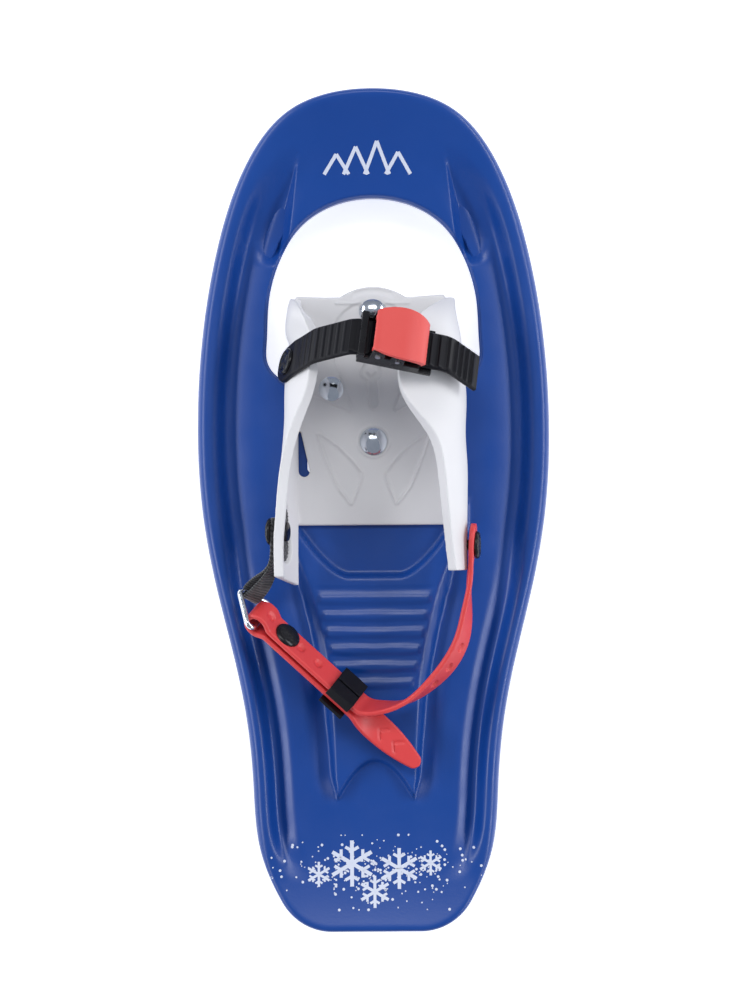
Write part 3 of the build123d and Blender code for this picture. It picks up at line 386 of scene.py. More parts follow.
BLUE = moulded("blue_plastic", (0.003, 0.048, 0.262), (0.006, 0.061, 0.305), 0.34, 0.035, 700)
WHITE = moulded("white_rubber", (0.70, 0.69, 0.69), (0.80, 0.79, 0.79), 0.55, 0.03, 900)
RED = moulded("red_strap", (0.66, 0.040, 0.042), (0.74, 0.060, 0.058), 0.42, 0.03, 900)
LEVER_RED = moulded("red_lever", (0.68, 0.068, 0.058), (0.74, 0.090, 0.078), 0.45, 0.04, 1100)
BLACK = moulded("black_strap", (0.003, 0.003, 0.005), (0.007, 0.007, 0.010), 0.42, 0.04, 900,
                Specular_IOR_Level=0.2)
GLOSS_BLACK = moulded("black_plastic", (0.005, 0.005, 0.006), (0.009, 0.009, 0.011), 0.26, 0.015,
                      900, Specular_IOR_Level=0.35)
NYLON = moulded("nylon", (0.62, 0.60, 0.55), (0.72, 0.70, 0.65), 0.5, 0.02, 900)
ZINC = metal("zinc", (0.60, 0.66, 0.72), (0.78, 0.81, 0.85), 0.16)
STEEL = metal("steel", (0.40, 0.41, 0.43), (0.56, 0.57, 0.59), 0.34, (1, 8, 1))
WEBBING = woven("webbing")
PRINT = moulded("print", (0.62, 0.66, 0.78), (0.72, 0.76, 0.86), 0.45, 0.01, 900)


# ---------------------------------------------------------------- deck
def outline_points(spacing):
    """Right half of the deck's plan outline, from the nose to the tail's middle."""
    side = curve_points(OUTLINE, 2000, start=(1, 0), end=TAIL_DIRECTION)
    corner = arc_between(OUTLINE[-1], TAIL_DIRECTION, TAIL_CORNER_END, 60)
    line = np.concatenate([side, corner[1:], [(0, -NOSE)]])
    return along(line, np.linspace(0, 1, round(running_lengths(line)[-1] / spacing)))


def hole_points():
    """Right half of the opening's plan outline: toe hole and well."""
    front = curve_points(HOLE_FRONT + HOLE_CORNER, 300, start=(1, 0))
    return np.concatenate([front, WELL])


def rocker(x, y, z):
    """Curves flat levels of the sole up at the nose and the tail, which shortens the nose."""
    for start, past in ((NOSE_START, y > NOSE_START), (TAIL_START, y < TAIL_START)):
        reach = np.where(past, y - start, 0)
        lifted = ROCKER_RADIUS - np.sqrt((ROCKER_RADIUS - z) ** 2 - reach ** 2)
        shorter = 1 - NOSE_SHORTENING * np.where(past & (y > 0), lifted - z, 0)
        x, y = x * shorter, y * shorter
        z = np.where(past, lifted, z)
    return np.stack([x, y, z], axis=1)


RIM_MID = profile([
    (0, EDGE_LEVEL), (0.5, 21.5), (1.4, 23.6), (2.8, 25.0), (4.6, 25.8), (6.8, RIM_HIGH),
    (9, 25.6), (11, 24.0), (13.2, 20.8), (15.4, 17.6), (17.4, 16.2), (19.5, 16.2), (22, 17.2),
    (26, 18.8), (31, 20.4), (37, PLATE_HIGH), (44, PLATE_HIGH), (60, PLATE_HIGH)])
RIM_REAR = profile([
    (0, EDGE_LEVEL), (0.5, 21.5), (1.4, 23.4), (2.8, 24.8), (4.4, 25.6), (6.0, 25.7),
    (7.6, 24.8), (9.4, 22.0), (11.2, 18.6), (12.8, 16.6), (14.2, 16.3), (16, 17.2), (18, 18.4),
    (20, 19.6), (22, 20.8), (23.6, 21.4), (25.5, PLATE_HIGH), (30, PLATE_HIGH), (60, PLATE_HIGH)])
RIM_NOSE = profile([
    (0, EDGE_LEVEL), (0.5, 21.5), (1.4, 23.4), (2.8, 24.6), (4.6, 25.2), (8, 25.4), (16, 25.3),
    (24, 25.0), (34, 24.6), (50, 24.3), (60, 24.3)])
RIM_TAIL = profile([
    (0, EDGE_LEVEL), (0.5, 20.0), (1.4, 20.9), (2.8, 21.4), (4.6, PLATE_HIGH), (8, PLATE_HIGH),
    (20, PLATE_HIGH), (60, PLATE_HIGH)])
UNDERSIDE = profile([
    (0, EDGE_LEVEL), (0.4, 15.6), (1.0, 13.6), (2.0, 12.4), (3.4, RIM_LOW), (8, RIM_LOW),
    (20, RIM_LOW), (23, 13), (27, 15.6), (30, PLATE_LOW), (60, PLATE_LOW)])


def panel_lines(y):
    """Half widths of the tail panel's top and foot at a place along the shoe."""
    top = np.interp(y, [-163.6, -155, -128, -97.7, -77, -60.5, -46, -33, -10],
                    [22.2, 22.7, 23.4, 24.9, 28.1, 32.1, 36.1, 41.3, 50])
    foot = np.interp(y, [-163.6, -155, -128, -107, -92.5, -77, -56.4, -36, -10],
                     [22.4, 25.2, 27.6, 29.4, 32.0, 34.9, 39.6, 45.3, 55])
    return top, foot


def tail_panel(x, y):
    """Height that the tapered tail panel, its ribs and the valleys beside it add."""
    side = np.abs(x)
    top, foot = panel_lines(y)
    front = PANEL_FRONT + 0.127 * np.maximum(side - 15, 0) ** 1.6
    rear = PANEL_REAR - 0.053 * side ** 1.95
    flank = np.clip((foot - side) / (foot - top), 0, 1)
    raised = flank * ease(front + 2.2, front - 1.6, y) * ease(rear - 1.8, rear + 1.8, y)
    height = (PANEL_HIGH - PLATE_HIGH) * raised
    for index, reach in enumerate(RIB_REACHES):
        middle = RIB_FIRST - RIB_PITCH * index
        end = reach - 0.4
        bar = ease(2.9, 1.7, np.abs(y - middle)) * ease(end, end - 1.6, side)
        height = height + RIB_HEIGHT * bar * raised
    crease = ease(0.9, 0.2, np.abs(y + 45.4)) * ease(34, 32, side) * raised
    height = height - 0.5 * crease
    beside = ease(foot + 13, foot + 1, side) * ease(foot - 1.5, foot + 0.3, side)
    stretch = ease(-28, -55, y) * ease(-172, -150, y)
    return height - TAIL_VALLEY * beside * stretch


def nose_panel(x, y):
    """Depth of the valleys beside the nose panel, whose flanks are plane bevels."""
    side = np.abs(x)
    share = np.clip((FLANK_FRONT - y) / FLANK_LENGTH, 0, 1)
    top = FLANK_HALF_WIDTH + 6.3 * share
    foot = FLANK_HALF_WIDTH + 12.8 * share
    flank = np.clip((side - top) / np.maximum(foot - top, 0.05), 0, 1)
    back = ease(foot + 15, foot + 2, side)
    return -NOSE_VALLEY * share * flank * back * ease(138, 150, y)


def top_level(x, y, inset, from_hole):
    """Level of the deck's upper face before the nose and tail are curved up."""
    rear = ease(-5, -75, y)
    level = (1 - rear) * RIM_MID(inset) + rear * RIM_REAR(inset)
    nose = ease(158, 205, y)
    level = (1 - nose) * level + nose * RIM_NOSE(inset)
    tail = ease(-180, -214, y)
    level = (1 - tail) * level + tail * RIM_TAIL(inset)
    forward = ease(112, 170, y) * ease(58, 44, np.abs(x))
    level = level + forward * (1 - nose) * (24.4 - PLATE_HIGH) * ease(26, 40, inset)
    level = level + nose_panel(x, y) + tail_panel(x, y)
    edge = ease(2.6, 0, from_hole) * ease(60, 66, y)
    return level - 2.4 * edge ** 2


def under_level(x, y, inset, from_hole):
    """Level of the deck's lower face: shell, rails and the toe hole's lip."""
    level = UNDERSIDE(inset)
    rail = ease(13.2, 14.4, inset) * ease(19.9, 18.7, inset)
    rail = rail * ease(153, 141, y) * ease(-198, -186, y)
    notch = ease(0.35, 0.75, np.abs(((y + 6) / 24) % 1 - 0.5) * 2)
    level = level * (1 - rail) + rail * 2.2 * (1 - notch)
    lip = ease(5.0, 3.6, from_hole) * ease(84, 90, y)
    return level - 4.0 * lip


def deck_columns(points, normals, inner, insets, shares):
    """Grid of plan points: first at set insets from the outline, then on to the inner line."""
    columns = [points + normals * inset for inset in insets]
    for share in shares:
        columns.append(columns[len(insets) - 1] * (1 - share) + inner * share)
    return np.stack(columns, axis=1)


def inward_normals(line):
    """Unit vectors square to the outline, pointing into the deck."""
    runs = np.gradient(line, axis=0)
    runs /= np.linalg.norm(runs, axis=1)[:, None]
    runs[0], runs[-1] = (1, 0), (-1, 0)
    return np.stack([runs[:, 1], -runs[:, 0]], axis=1)


def inner_partners(outer, hole):
    """Inner line's point for each outline point, and how many of them lie beside the opening."""
    inner_line = np.concatenate([hole, [SPINE_END]])
    reach, inner_reach = running_lengths(outer), running_lengths(inner_line)

    def outer_at(y):
        return np.interp(-y, -outer[:, 1], reach)

    def inner_at(point):
        return inner_reach[np.argmin(np.linalg.norm(inner_line - np.array(point), axis=1))]

    pairs = [(0, 0)] + [(outer_at(y), inner_at(point)) for y, point in GRID_MATCHES]
    pairs += [(outer_at(SPINE_END[1]), inner_reach[-1]), (reach[-1], inner_reach[-1])]
    wanted = np.interp(reach, [p[0] for p in pairs], [p[1] for p in pairs])
    inner = np.stack([np.interp(wanted, inner_reach, inner_line[:, k]) for k in (0, 1)], axis=1)
    return inner, int(np.argmax(wanted >= inner_at(WELL[-1]) - 1e-6))


def deck_face(outer, inner, hole, insets, shares, level):
    """Points of one face of the deck's right half, with their rows and columns."""
    plan = deck_columns(outer, inward_normals(outer), inner, insets, shares)
    rows, columns = plan.shape[:2]
    flat = plan.reshape(-1, 2)
    full = np.concatenate([outer, outer[::-1] * (-1, 1)])
    inset = distance_to(full[::3], flat).reshape(rows, columns)
    edge = inset[:, :len(insets)]
    inset[:, :len(insets)] = np.minimum(edge + 9, np.array(insets)[None, :])
    z = level(flat[:, 0], flat[:, 1], inset.reshape(-1), distance_to(hole[::2], flat))
    return rocker(flat[:, 0], flat[:, 1], z), rows, columns


def make_deck():
    """One closed skin: upper face, lower face, outer edge and the wall of the opening."""
    outer, hole = outline_points(1.3), hole_points()
    inner, wall_rows = inner_partners(outer, hole)
    upper = deck_face(outer, inner, hole, UPPER_INSETS, UPPER_SHARES, top_level)
    lower = deck_face(outer, inner, hole, LOWER_INSETS, LOWER_SHARES, under_level)
    vertices, faces = [], []
    for surface, rows, columns in (upper, lower):
        start = len(vertices)
        vertices += list(surface)
        faces += [tuple(start + k for k in face) for face in grid_faces(rows, columns)]
    below, wide, narrow = len(upper[0]), upper[2], lower[2]
    for i in range(1, wall_rows + 1):
        faces.append((i * wide - 1, (i + 1) * wide - 1, below + (i + 1) * narrow - 1,
                      below + i * narrow - 1))
    mirrored = [(-x, y, z) for x, y, z in vertices]
    shift = len(vertices)
    faces += [tuple(shift + k for k in face[::-1]) for face in list(faces)]
    deck = new_piece("deck_skin", list(vertices) + mirrored, faces)
    return finish_piece(deck, "deck", BLUE, ["deck"])


DECK = make_deck()


# ---------------------------------------------------------------- shells and bands
def cross_rows(a, b):
    """Unit cross products of two arrays of vectors."""
    product = np.cross(a, b)
    return product / np.linalg.norm(product, axis=-1, keepdims=True)


def slab(name, outer, inner):
    """Closed solid between two grids of points of the same size."""
    rows, columns = outer.shape[:2]
    count = rows * columns
    faces = grid_faces(rows, columns)
    faces += [tuple(count + k for k in face[::-1]) for face in grid_faces(rows, columns)]
    rim = [i * columns for i in range(rows)]
    rim += [(rows - 1) * columns + j for j in range(1, columns)]
    rim += [i * columns + columns - 1 for i in range(rows - 2, -1, -1)]
    rim += list(range(columns - 2, 0, -1))
    for a, b in zip(rim, rim[1:] + rim[:1]):
        faces.append((a, b, count + b, count + a))
    return new_piece(name, np.concatenate([outer.reshape(-1, 3), inner.reshape(-1, 3)]), faces)


def prism(name, outline, low, high):
    """Upright solid over a plan outline."""
    count = len(outline)
    vertices = [(x, y, low) for x, y in outline] + [(x, y, high) for x, y in outline]
    faces = [tuple(range(count))[::-1], tuple(range(count, 2 * count))]
    faces += [(i, (i + 1) % count, count + (i + 1) % count, count + i) for i in range(count)]
    return new_piece(name, vertices, faces, smooth=False)


def circle_points(centre, radius, start=0, end=360, count=48):
    """Points of a circle's arc, with angles in degrees."""
    angles = np.radians(np.linspace(start, end, count))
    return np.stack([centre[0] + radius * np.cos(angles), centre[1] + radius * np.sin(angles)], 1)


def cut(piece, cutter):
    """Takes the cutter's volume out of a piece and removes the cutter."""
    modify(piece, "BOOLEAN", operation="DIFFERENCE", object=cutter, solver="EXACT")
    bpy.data.objects.remove(cutter)
    return piece


def rounded_line(points, radii, step=0.4):
    """Evenly spaced points along straight runs joined by arcs at the inner points."""
    points = [np.array(p, float) for p in points]
    line = [points[0]]
    for before, corner, after, radius in zip(points, points[1:], points[2:], radii):
        back = (before - corner) / np.linalg.norm(before - corner)
        onward = (after - corner) / np.linalg.norm(after - corner)
        half = math.acos(float(np.clip(back @ onward, -1, 1))) / 2
        middle = corner + (back + onward) / np.linalg.norm(back + onward) * radius / math.sin(half)
        a = corner + back * radius / math.tan(half) - middle
        b = corner + onward * radius / math.tan(half) - middle
        turn = math.pi - 2 * half
        for share in np.linspace(0, 1, 24):
            line.append(middle + (math.sin((1 - share) * turn) * a + math.sin(share * turn) * b)
                        / math.sin(turn))
    line = np.array(line + [points[-1]])
    return along(line, np.linspace(0, 1, round(running_lengths(line)[-1] / step)))


def band_frame(centres, across):
    """Unit tangents, across vectors and outward vectors of a band's stations."""
    tangent = np.gradient(centres, axis=0)
    tangent /= np.linalg.norm(tangent, axis=1, keepdims=True)
    outward = cross_rows(across, tangent)
    return tangent, cross_rows(tangent, outward), outward


def band(name, centres, across, half_widths, thickness, top=None, under=None, columns=33):
    """Flat band swept along its stations, with rounded edges and relief on either face.

    top and under give the height added at (distance along, distance across)."""
    _, across, outward = band_frame(centres, across)
    reach = running_lengths(centres)
    shares = np.sin(np.linspace(-math.pi / 2, math.pi / 2, columns))
    x = half_widths[:, None] * shares[None, :]
    round_edge = np.minimum(1.1, half_widths)[:, None]
    past = np.clip((np.abs(x) - (half_widths[:, None] - round_edge)) / round_edge, 0, 1)
    half = thickness / 2 * np.sqrt(np.clip(1 - past ** 2, 0.0004, 1))
    s = np.repeat(reach[:, None], columns, axis=1)
    flat = 1 - past ** 2
    high = half + (top(s, x) * flat if top else 0)
    low = -half - (under(s, x) * flat if under else 0)
    middle = centres[:, None, :] + across[:, None, :] * x[:, :, None]
    upper = middle + outward[:, None, :] * high[:, :, None]
    lower = middle + outward[:, None, :] * low[:, :, None]
    return slab(name, upper, lower)


def nearest(centres, x, y):
    """Distance along a band's middle line to the place nearest a plan point."""
    reach = running_lengths(centres)
    return float(reach[np.argmin(np.hypot(centres[:, 0] - x, centres[:, 1] - y))])


def inside_depth(outline, points):
    """Distance of plan points inside a closed outline; negative outside it."""
    closed = np.array(list(outline) + [outline[0]], float)
    depth = distance_to(closed, points)
    odd = np.zeros(len(points), bool)
    for (x0, y0), (x1, y1) in zip(closed[:-1], closed[1:]):
        if y0 == y1:
            continue
        crosses = (points[:, 1] > min(y0, y1)) & (points[:, 1] <= max(y0, y1))
        odd ^= crosses & (points[:, 0] < x0 + (points[:, 1] - y0) * (x1 - x0) / (y1 - y0))
    return np.where(odd, depth, -depth)


def read_points(piece):
    """Vertex places of a mesh in millimetres, and its vertex normals."""
    count = len(piece.data.vertices)
    places, normals = np.zeros(3 * count), np.zeros(3 * count)
    piece.data.vertices.foreach_get("co", places)
    piece.data.vertices.foreach_get("normal", normals)
    return places.reshape(-1, 3) / MM, normals.reshape(-1, 3)


def write_points(piece, places):
    """Writes vertex places in millimetres back to a mesh."""
    piece.data.vertices.foreach_set("co", (places * MM).reshape(-1))
    piece.data.update()


# ---------------------------------------------------------------- binding shell
BASE_LOW, BASE_HIGH = 21.3, 25.3
BASE_REAR = -9.5
FRONT_ARC_CENTRE, FRONT_ARC_RADIUS = 94.0, 33.0
WING_THICKNESS, EDGE_FLARE = 3.5, 2.4
ARM_SLANT = 5.5
# Each wing, front to rear: (y, [base, middle, shoulder, free edge as (x, z)]).
RIGHT_WING = [
    (119.5, [(44.5, 23.3), (45.5, 27), (44, 31), (42, 34)]),
    (108, [(44.5, 23.3), (46, 40), (40, 52), (25, 60)]),
    (98, [(44.5, 23.3), (48, 43), (38, 61), (17, 66)]),
    (87, [(44.5, 23.3), (49, 45), (38, 64), (15, 69.5)]),
    (76, [(44.5, 23.3), (50, 46), (38, 66), (14, 72.5)]),
    (62, [(44.5, 23.3), (51, 46), (39, 67), (18, 76)]),
    (42, [(44.5, 23.3), (50.5, 44), (43, 62), (33, 74)]),
    (22, [(44.5, 23.3), (51.5, 42), (47, 58), (38.5, 70)]),
    (-4, [(44.5, 23.3), (51, 42), (49, 55), (41, 66)]),
    (-14, [(46, 31), (50.5, 42), (50, 53), (42, 64)]),
    (-35, [(47, 36), (50.5, 44), (50.2, 53), (44.5, 62)]),
]
LEFT_WING = [
    (119.5, [(-44.5, 23.3), (-45.5, 27), (-45, 31), (-44, 34)]),
    (110, [(-44.5, 23.3), (-47.5, 33), (-44.5, 42), (-38.5, 49)]),
    (98, [(-44.5, 23.3), (-47.5, 31), (-38.6, 46.5), (-34.2, 54)]),
    (93.5, [(-44.5, 23.3), (-46, 32), (-40.2, 45.5), (-34, 57.5)]),
    (84, [(-44.5, 23.3), (-47, 35), (-40.8, 50.5), (-34.2, 63.8)]),
    (70, [(-44.5, 23.3), (-48.4, 42), (-42.6, 57), (-35.4, 67.5)]),
    (54, [(-44.5, 23.3), (-48.6, 42), (-46.8, 57), (-41.5, 69)]),
    (34, [(-44.5, 23.3), (-48.4, 40), (-49.8, 55), (-48.5, 67.5)]),
    (16, [(-44.5, 23.3), (-48.4, 38), (-51, 52), (-52, 65.5)]),
    (-5, [(-44.5, 23.3), (-48.5, 38), (-52, 52), (-54, 64)]),
    (-15, [(-44.5, 32), (-48.5, 42), (-52, 52), (-55, 62)]),
    (-38, [(-44.5, 34), (-48, 42), (-51.5, 51), (-55, 60)]),
]
SLOT_ENDS = [((-42.6, 44), 1.0), ((-39.8, 21.5), 3.2)]
POCKET_PLACE = (-49.6, -14.0, 50.0)
POCKET_LENGTH, POCKET_HEIGHT, POCKET_DEPTH = 34.0, 15.0, 2.2
POCKET_LEAN = math.radians(21)
BOLT_PLACES = [(0, 38.5), (-24, 68.5), (24, 68.5), (0, 113)]
# Raised figures on the base plate's left half, mirrored on its right half.
PAD = [(-22.5, 90), (-20.8, 84), (-11.5, 56.5), (-12.6, 54.8), (-36, 65.5), (-38, 78), (-34, 90)]
LEAF = [(-33.4, 43.6), (-30, 43.6), (-19, 35.7), (-11, 27.5), (-5.9, 20.8), (-6.2, 17), (-12, 2),
        (-14, 2), (-21.7, 12), (-28.7, 28.7)]
KEYHOLE_CENTRE, KEYHOLE_RADIUS = (-1.0, 78.3), 6.6
KEYHOLE_END, KEYHOLE_HALF_WIDTH = 56.5, 3.6
RING_RADIUS = 9.8
RELIEF = 1.5


def make_wing(name, stations, side):
    """One wing with its arm: smooth sheet, thicker along its free edge."""
    rows, columns = 150, 34
    lines = np.array([curve_points([(x, y, z) for x, z in line], columns) for y, line in stations])
    if side < 0:
        slant = ARM_SLANT * ease(-5, -38, lines[:, :, 1])
        lines[:, :, 1] -= slant * np.linspace(1, 0, columns)
    packed = lines.reshape(len(lines), -1)
    grid = curve_points(packed, rows).reshape(rows, columns, 3)
    outward = cross_rows(np.gradient(grid, axis=0), np.gradient(grid, axis=1)) * -side
    flare = EDGE_FLARE * ease(0.74, 0.97, np.linspace(0, 1, columns))[None, :, None]
    outer = grid + outward * WING_THICKNESS / 2
    inner = grid - outward * (WING_THICKNESS / 2 + flare)
    return slab(name, outer, inner)


def make_base_plate():
    """Base plate with its rounded front and the teardrop slot."""
    arc = circle_points((0, FRONT_ARC_CENTRE), FRONT_ARC_RADIUS, 54.5, 125.5)
    outline = [(-46, BASE_REAR), (46, BASE_REAR), (46, 110), (44.5, 117), (40.6, 122.4)]
    outline += [tuple(point) for point in arc] + [(-44, 121.5), (-45, 118)]
    plate = prism("base_plate", outline, BASE_LOW, BASE_HIGH)
    rounds = [Vector(p) for centre, radius in SLOT_ENDS for p in circle_points(centre, radius)]
    hull = [rounds[k] for k in convex_hull_2d(rounds)]
    return cut(plate, prism("slot", [tuple(p) for p in hull], BASE_LOW - 3, BASE_HIGH + 3))


def bead(depth, width, height):
    """Rounded bead just inside an outline, from the distance inside it."""
    return height * np.clip(1 - ((depth - width / 2) / (width / 2)) ** 2, 0, 1)


def plate_relief(x, y):
    """Height of the figures moulded on the base plate."""
    spots = np.stack([-np.abs(x), y], axis=1)
    pad = inside_depth(PAD, spots)
    height = 0.55 * ease(-0.2, 0.8, pad) + bead(pad, 1.2, 0.35)
    leaf = inside_depth(LEAF, spots)
    height += bead(leaf, 1.4, 0.6) - 0.45 * ease(1.0, 2.4, leaf)
    ring = np.hypot(x, y - BOLT_PLACES[0][1])
    height += bead(RING_RADIUS - ring, 1.5, 0.55)
    circle = KEYHOLE_RADIUS - np.hypot(x - KEYHOLE_CENTRE[0], y - KEYHOLE_CENTRE[1])
    slot_line = np.array([KEYHOLE_CENTRE, (0.1, KEYHOLE_END + KEYHOLE_HALF_WIDTH)], float)
    slot = KEYHOLE_HALF_WIDTH - distance_to(slot_line, np.stack([x, y], axis=1))
    keyhole = np.maximum(circle, slot)
    height += bead(keyhole, 1.4, 0.7) - 0.35 * ease(1.0, 2.0, keyhole)
    diamond = 3.2 - (np.abs(x - KEYHOLE_CENTRE[0]) + np.abs(y - KEYHOLE_CENTRE[1]))
    height += 0.9 * ease(0, 0.9, diamond)
    from_arc = np.hypot(x, y - FRONT_ARC_CENTRE)
    band_share = ease(FRONT_ARC_RADIUS - 8.6, FRONT_ARC_RADIUS - 7.6, from_arc) * ease(88, 96, y)
    height += 0.7 * band_share
    crescent = bead(2.0 - np.abs(from_arc - 30.3), 3.0, 0.7) * ease(13, 10, np.abs(x))
    height -= crescent * ease(115, 118, y)
    bar = np.abs(y - 117.4) * ease(24, 21, np.abs(x)) + 9 * ease(21, 24, np.abs(x))
    height += 0.5 * ease(1.0, 0.3, bar)
    trough = np.exp(-((y - 20) / 15) ** 2) * ease(44, 34, np.abs(x))
    return RELIEF * height - 1.1 * trough


def pocket_axes():
    """Outward and upward directions of the left arm's pocket."""
    sine, cosine = math.sin(POCKET_LEAN), math.cos(POCKET_LEAN)
    return np.array([cosine, 0, sine]), np.array([-sine, 0, cosine])


def make_pocket_cut(places, normals):
    """Sinks the oval pocket in the left arm's inner face."""
    face, up = pocket_axes()
    offset = places - np.array(POCKET_PLACE)
    height, run, rise = offset @ face, offset[:, 1], offset @ up
    half_run = (POCKET_LENGTH - POCKET_HEIGHT) / 2
    side = np.hypot(np.maximum(np.abs(run) - half_run, 0), rise)
    share = ease(POCKET_HEIGHT / 2, POCKET_HEIGHT / 2 - 1.2, side)
    share *= (normals @ face > 0.35) & (np.abs(height) < 6)
    return places + face * (share * (-POCKET_DEPTH - height))[:, None]


def make_shell():
    """Soft white binding: plate, wings, arms, relief and pocket in one skin."""
    parts = [make_base_plate(), make_wing("right_wing", RIGHT_WING, 1),
             make_wing("left_wing", LEFT_WING, -1)]
    shell = melt(join("binding_skin", parts), 0.6, 8)
    places, normals = read_points(shell)
    places = make_pocket_cut(places, normals)
    x, y, z = places.T
    on_plate = ease(42.5, 40.5, np.abs(x)) * ease(0.75, 0.92, normals[:, 2])
    on_plate *= (z > BASE_HIGH - 1.2) & (z < BASE_HIGH + 0.8)
    places[:, 2] += on_plate * plate_relief(x, y)
    write_points(shell, places)
    modify(shell, "SMOOTH", factor=0.3, iterations=1)
    return finish_piece(shell, "binding", WHITE, ["binding_shell"])


def make_pocket_webbing():
    """Ribbed webbing seen in the left arm's pocket."""
    face, up = pocket_axes()
    half = POCKET_LENGTH / 2 - 1.6
    run = np.linspace(-half, half, 130)
    centres = np.array(POCKET_PLACE) + run[:, None] * (0, 1, 0) - face * (POCKET_DEPTH - 0.6)
    across = np.repeat((-up)[None, :], len(run), axis=0)
    round_end = np.sqrt(np.clip(1 - (np.maximum(np.abs(run) - (half - 6), 0) / 6) ** 2, 0.003, 1))

    def ribs(s, x):
        return 0.32 * np.sin(s * 2 * math.pi / 1.9)

    piece = band("pocket_webbing", centres, across, 5.9 * round_end, 1.2, top=ribs, columns=15)
    return finish_piece(piece, "binding", WEBBING)


make_shell()
make_pocket_webbing()


# ---------------------------------------------------------------- toe strap and buckle
ARCH_Y, ARCH_LEAN, ARCH_YAW = 56.5, 23.7, 7.4
STRAP_POINTS = [(-54.6, 38.6), (-46, 59.5), (-37, 75.5), (-15, 94.79), (38, 85.45), (54.8, 65.8)]
STRAP_RADII = [20, 20, 12, 12]
STRAP_WIDTH, STRAP_THICKNESS = 22.0, 3.0
TOOTH_PITCH, TOOTH_HEIGHT, TOOTH_LENGTH, TOOTH_SHIFT = 5.0, 1.5, 3.5, 1.0
TOE_RIVET_ALONG, TOE_RIVET_SHANK = 12.3, 6.8
BUCKLE_FROM_BEND = 7.0
RIVET_RADIUS, RIVET_HEIGHT = 7.8, 2.6


def arch_axes():
    """Directions of the toe strap's arch: to the right, up in its plane, and its normal."""
    lean, yaw = math.radians(ARCH_LEAN), math.radians(ARCH_YAW)
    right = np.array([math.cos(yaw), -math.sin(yaw), 0])
    across = np.array([math.sin(yaw), math.cos(yaw), 0])
    up = across * math.sin(lean) + np.array([0, 0, math.cos(lean)])
    return right, up, np.cross(right, up)


def arch_point(right, up):
    """Place in the frame of a point given in the arch's plane."""
    axes = arch_axes()
    return np.array([0, ARCH_Y, 0]) + axes[0] * right + axes[1] * up


def make_toe_strap():
    """Black ladder strap: low ribs on the left, ratchet teeth on the right."""
    line = rounded_line(STRAP_POINTS, STRAP_RADII, 0.3)
    centres = np.array([arch_point(x, z) for x, z in line])
    across = np.repeat(arch_axes()[2][None, :], len(centres), axis=0)
    bend, end = np.array(STRAP_POINTS[3], float), np.array(STRAP_POINTS[4], float)
    buckle = bend + (end - bend) / np.linalg.norm(end - bend) * BUCKLE_FROM_BEND
    reach = running_lengths(line)
    crest = reach[np.argmin(np.linalg.norm(line - buckle, axis=1))] + TOOTH_SHIFT
    length = reach[-1]
    half_width = STRAP_WIDTH / 2
    widths = np.full(len(line), half_width)
    start = np.clip((half_width - 0.5 - reach) / half_width, 0, 1)
    widths *= np.sqrt(np.clip(1 - start ** 2, 0.003, 1))

    def teeth(s, x):
        place = np.mod(s - crest, TOOTH_PITCH)
        ramp = np.clip(1 - place / TOOTH_LENGTH, 0, 1) * ease(0, 0.35, place)
        strong = ease(crest - 14, crest - 9, s)
        low_rib = 0.45 * ease(1.3, 0.4, np.abs(place - 1.3))
        height = strong * TOOTH_HEIGHT * ramp + (1 - strong) * low_rib
        height = height * ease(half_width - 0.6, half_width - 1.6, np.abs(x))
        pad = ease(30, 26, s)
        return height * (1 - pad) * ease(length - 2, length - 4, s) + 0.6 * ease(24, 20, s)

    strap = band("toe_strap_skin", centres, across, widths, STRAP_THICKNESS, top=teeth)
    return finish_piece(strap, "binding", BLACK, ["toe_strap"])


def cross_notches(radius, angle):
    """Four shallow notches in a rivet's face."""
    return -0.55 * float(ease(4.4, 3.9, radius)) * max(0.0, math.cos(4 * angle)) ** 2 * min(
        1.0, radius / 1.5)


def make_button(name, face, axis, shank, node):
    """Black button rivet: ringed face with notches, shank and tail."""
    line = [(0, RIVET_HEIGHT - 0.2)]
    line += [(r, RIVET_HEIGHT - 0.2) for r in (0.8, 1.6, 2.4, 3.2, 3.9, 4.4)]
    line += [(4.7, RIVET_HEIGHT - 0.9), (5.3, RIVET_HEIGHT - 0.9), (5.7, RIVET_HEIGHT),
             (6.6, RIVET_HEIGHT), (7.3, RIVET_HEIGHT - 0.35), (RIVET_RADIUS, RIVET_HEIGHT - 1.2),
             (RIVET_RADIUS, 0.2), (7.4, 0), (3, 0), (3, -shank), (5.5, -shank), (5.5, -shank - 1.4),
             (5.0, -shank - 1.8), (0, -shank - 1.8)]
    piece = turned(name, line, face, axis, 72, cross_notches)
    return finish_piece(piece, "binding", GLOSS_BLACK, [node])


def make_toe_button():
    """Button rivet square to the toe strap's left end."""
    first, second = np.array(STRAP_POINTS[0]), np.array(STRAP_POINTS[1])
    run = (second - first) / np.linalg.norm(second - first)
    outward = np.array([-run[1], run[0]])
    spot = first + run * TOE_RIVET_ALONG + outward * STRAP_THICKNESS / 2
    axis = arch_axes()[0] * outward[0] + arch_axes()[1] * outward[1]
    make_button("toe_button", arch_point(*spot), axis, TOE_RIVET_SHANK, "toe_strap_rivet")


make_toe_strap()
make_toe_button()
for node, skin, voxel, rounds, body, material, slot_name in (
        ("buckle_lever", "lever_skin", 0.32, 6, "lever", LEVER_RED, "red_lever"),
        ("buckle_base", "buckle_skin", 0.3, 4, "binding", GLOSS_BLACK, "black_plastic"),
        ("buckle_pawl", "pawl_skin", 0.25, 3, "pawl", GLOSS_BLACK, "black_plastic")):
    finish_piece(soft_copy(node, skin, voxel, rounds), body, material, [node])


